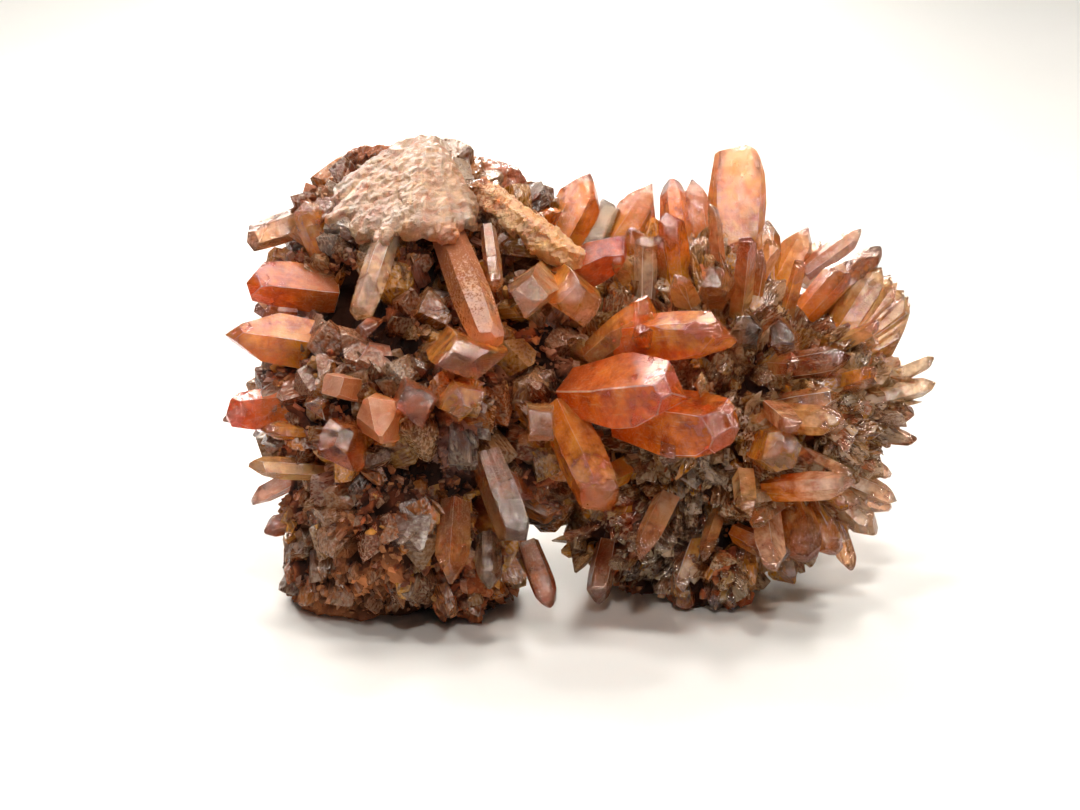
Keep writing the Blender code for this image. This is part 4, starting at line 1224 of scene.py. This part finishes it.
grow("right_lobe_blades", BLADES + PRISMS, 3800, 1, (1.4, 4.6), (0.4, 0.8), (3.2, 7.5), 0.45, 1.1,
     RIGHT_STAINS, (0.0, 0.1), CLEAR_DRUSE, 5)
grow("right_lobe_druse", BLOCKS + PRISMS, 11500, 1, (0.9, 2.6), (0.6, 1.0), (1.4, 3.6), 0.3, 1.4,
     RIGHT_STAINS, (0.0, 0.1), CLEAR_DRUSE, 6)
grow("left_lobe_blocks", BLOCKS + PRISMS, 1700, 0, (2.2, 6.6), (0.6, 1.0), (3.0, 6.2), 0.55, 1.2,
     BLOCK_STAINS, (0.0, 0.35), AMBER_DRUSE, 8)
grow("left_lobe_druse", BLOCKS + PRISMS, 4500, 0, (0.5, 1.7), (0.5, 1.0), (0.9, 2.6), 0.4, 1.4,
     LEFT_STAINS, (0.0, 0.8), DULL_DRUSE, 9)


# The clay crumbs
# Pinkish brown clay that still clings to the rock between the crystals, in grains. It lies in
# patches, and thicker on the left lobe.

CLAYS = (
    (0.33, 0.085, 0.022), (0.44, 0.13, 0.038), (0.22, 0.05, 0.013), (0.56, 0.22, 0.09),
    (0.12, 0.028, 0.008),
)
CRUMB_PLACES = 22000


def crumb_shape(pick):
    """A rough grain one across: the hull of a few scattered points."""
    bm = bmesh.new()
    for number in range(9):
        way = Vector(pick.gauss(0, 1) for axis in range(3)).normalized()
        bm.verts.new(way * pick.uniform(0.38, 0.55))
    hull = bmesh.ops.convex_hull(bm, input=bm.verts)
    spare = {part for part in hull["geom_interior"] if isinstance(part, bmesh.types.BMVert)}
    bmesh.ops.delete(bm, geom=list(spare), context="VERTS")
    bm.verts.index_update()
    bmesh.ops.recalc_face_normals(bm, faces=bm.faces)
    points = np.array([vert.co for vert in bm.verts])
    faces = np.array([[vert.index for vert in face.verts] for face in bm.faces])
    bm.free()
    return points, faces


crumb_finish, start = new_finish("clay_crumbs")
place = start.node("TexCoord", output="Object")
stain = start.node("Attribute", {"attribute_name": "stain"}, output="Color")
fine = start.node("TexNoise", {}, {"Vector": place, "Scale": 1400, "Detail": 4, "Roughness": 0.7})
relief = start.node("Bump", {}, {"Height": fine, "Strength": 0.6, "Distance": 0.0002})
show(start, start.node("BsdfPrincipled", {}, {
    "Base Color": stain.tint(fine.ramp(0.4, 0.75, 0.0, 0.3), (0.75, 0.36, 0.18, 1)),
    "Roughness": fine.ramp(0.3, 0.8, 0.95, 0.6), "Normal": relief, "Specular IOR Level": 0.08}))
CRUMBS = [crumb_shape(pick) for number in range(8)]
chance = np.random.default_rng(9)
places, outs = spread_over(rock.data, CRUMB_PLACES, chance)
where = as_seen(places)
radial = unit(places - LOBE_CENTRES[(where[:, 0] > 0).astype(int)])
facing = on_show_side(places, radial)[0]
in_cleft = sum(facing * nearness(where, spot) for spot in CLEFTS) > BARE_OF_CRUMBS
clustered = np.array([noise.noise(Vector(place) * 0.35) for place in places])
wanted = np.where(where[:, 0] > 0, 0.25, 0.75) + clustered
kept = (chance.random(len(places)) < wanted) & ~in_cleft & (places[:, 2] > 1)
places, outs = places[kept], outs[kept]
count = len(places)
breadth = 0.25 + 1.15 * chance.random((count, 1)) ** 2.5
breadths = breadth * chance.uniform(0.7, 1.3, (count, 3))
stains = choose_stains(places, outs, CLAYS, chance)
points, faces, own, owners = set_out(CRUMBS, places + outs * breadth * 0.25, outs, breadths, chance)
crumbs = make_piece("clay_crumbs", points, faces.tolist(), crumb_finish)
set_field(crumbs.data, "stain", "FLOAT_COLOR", stains[owners])
crumbs.data.shade_flat()
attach(crumbs, "root")
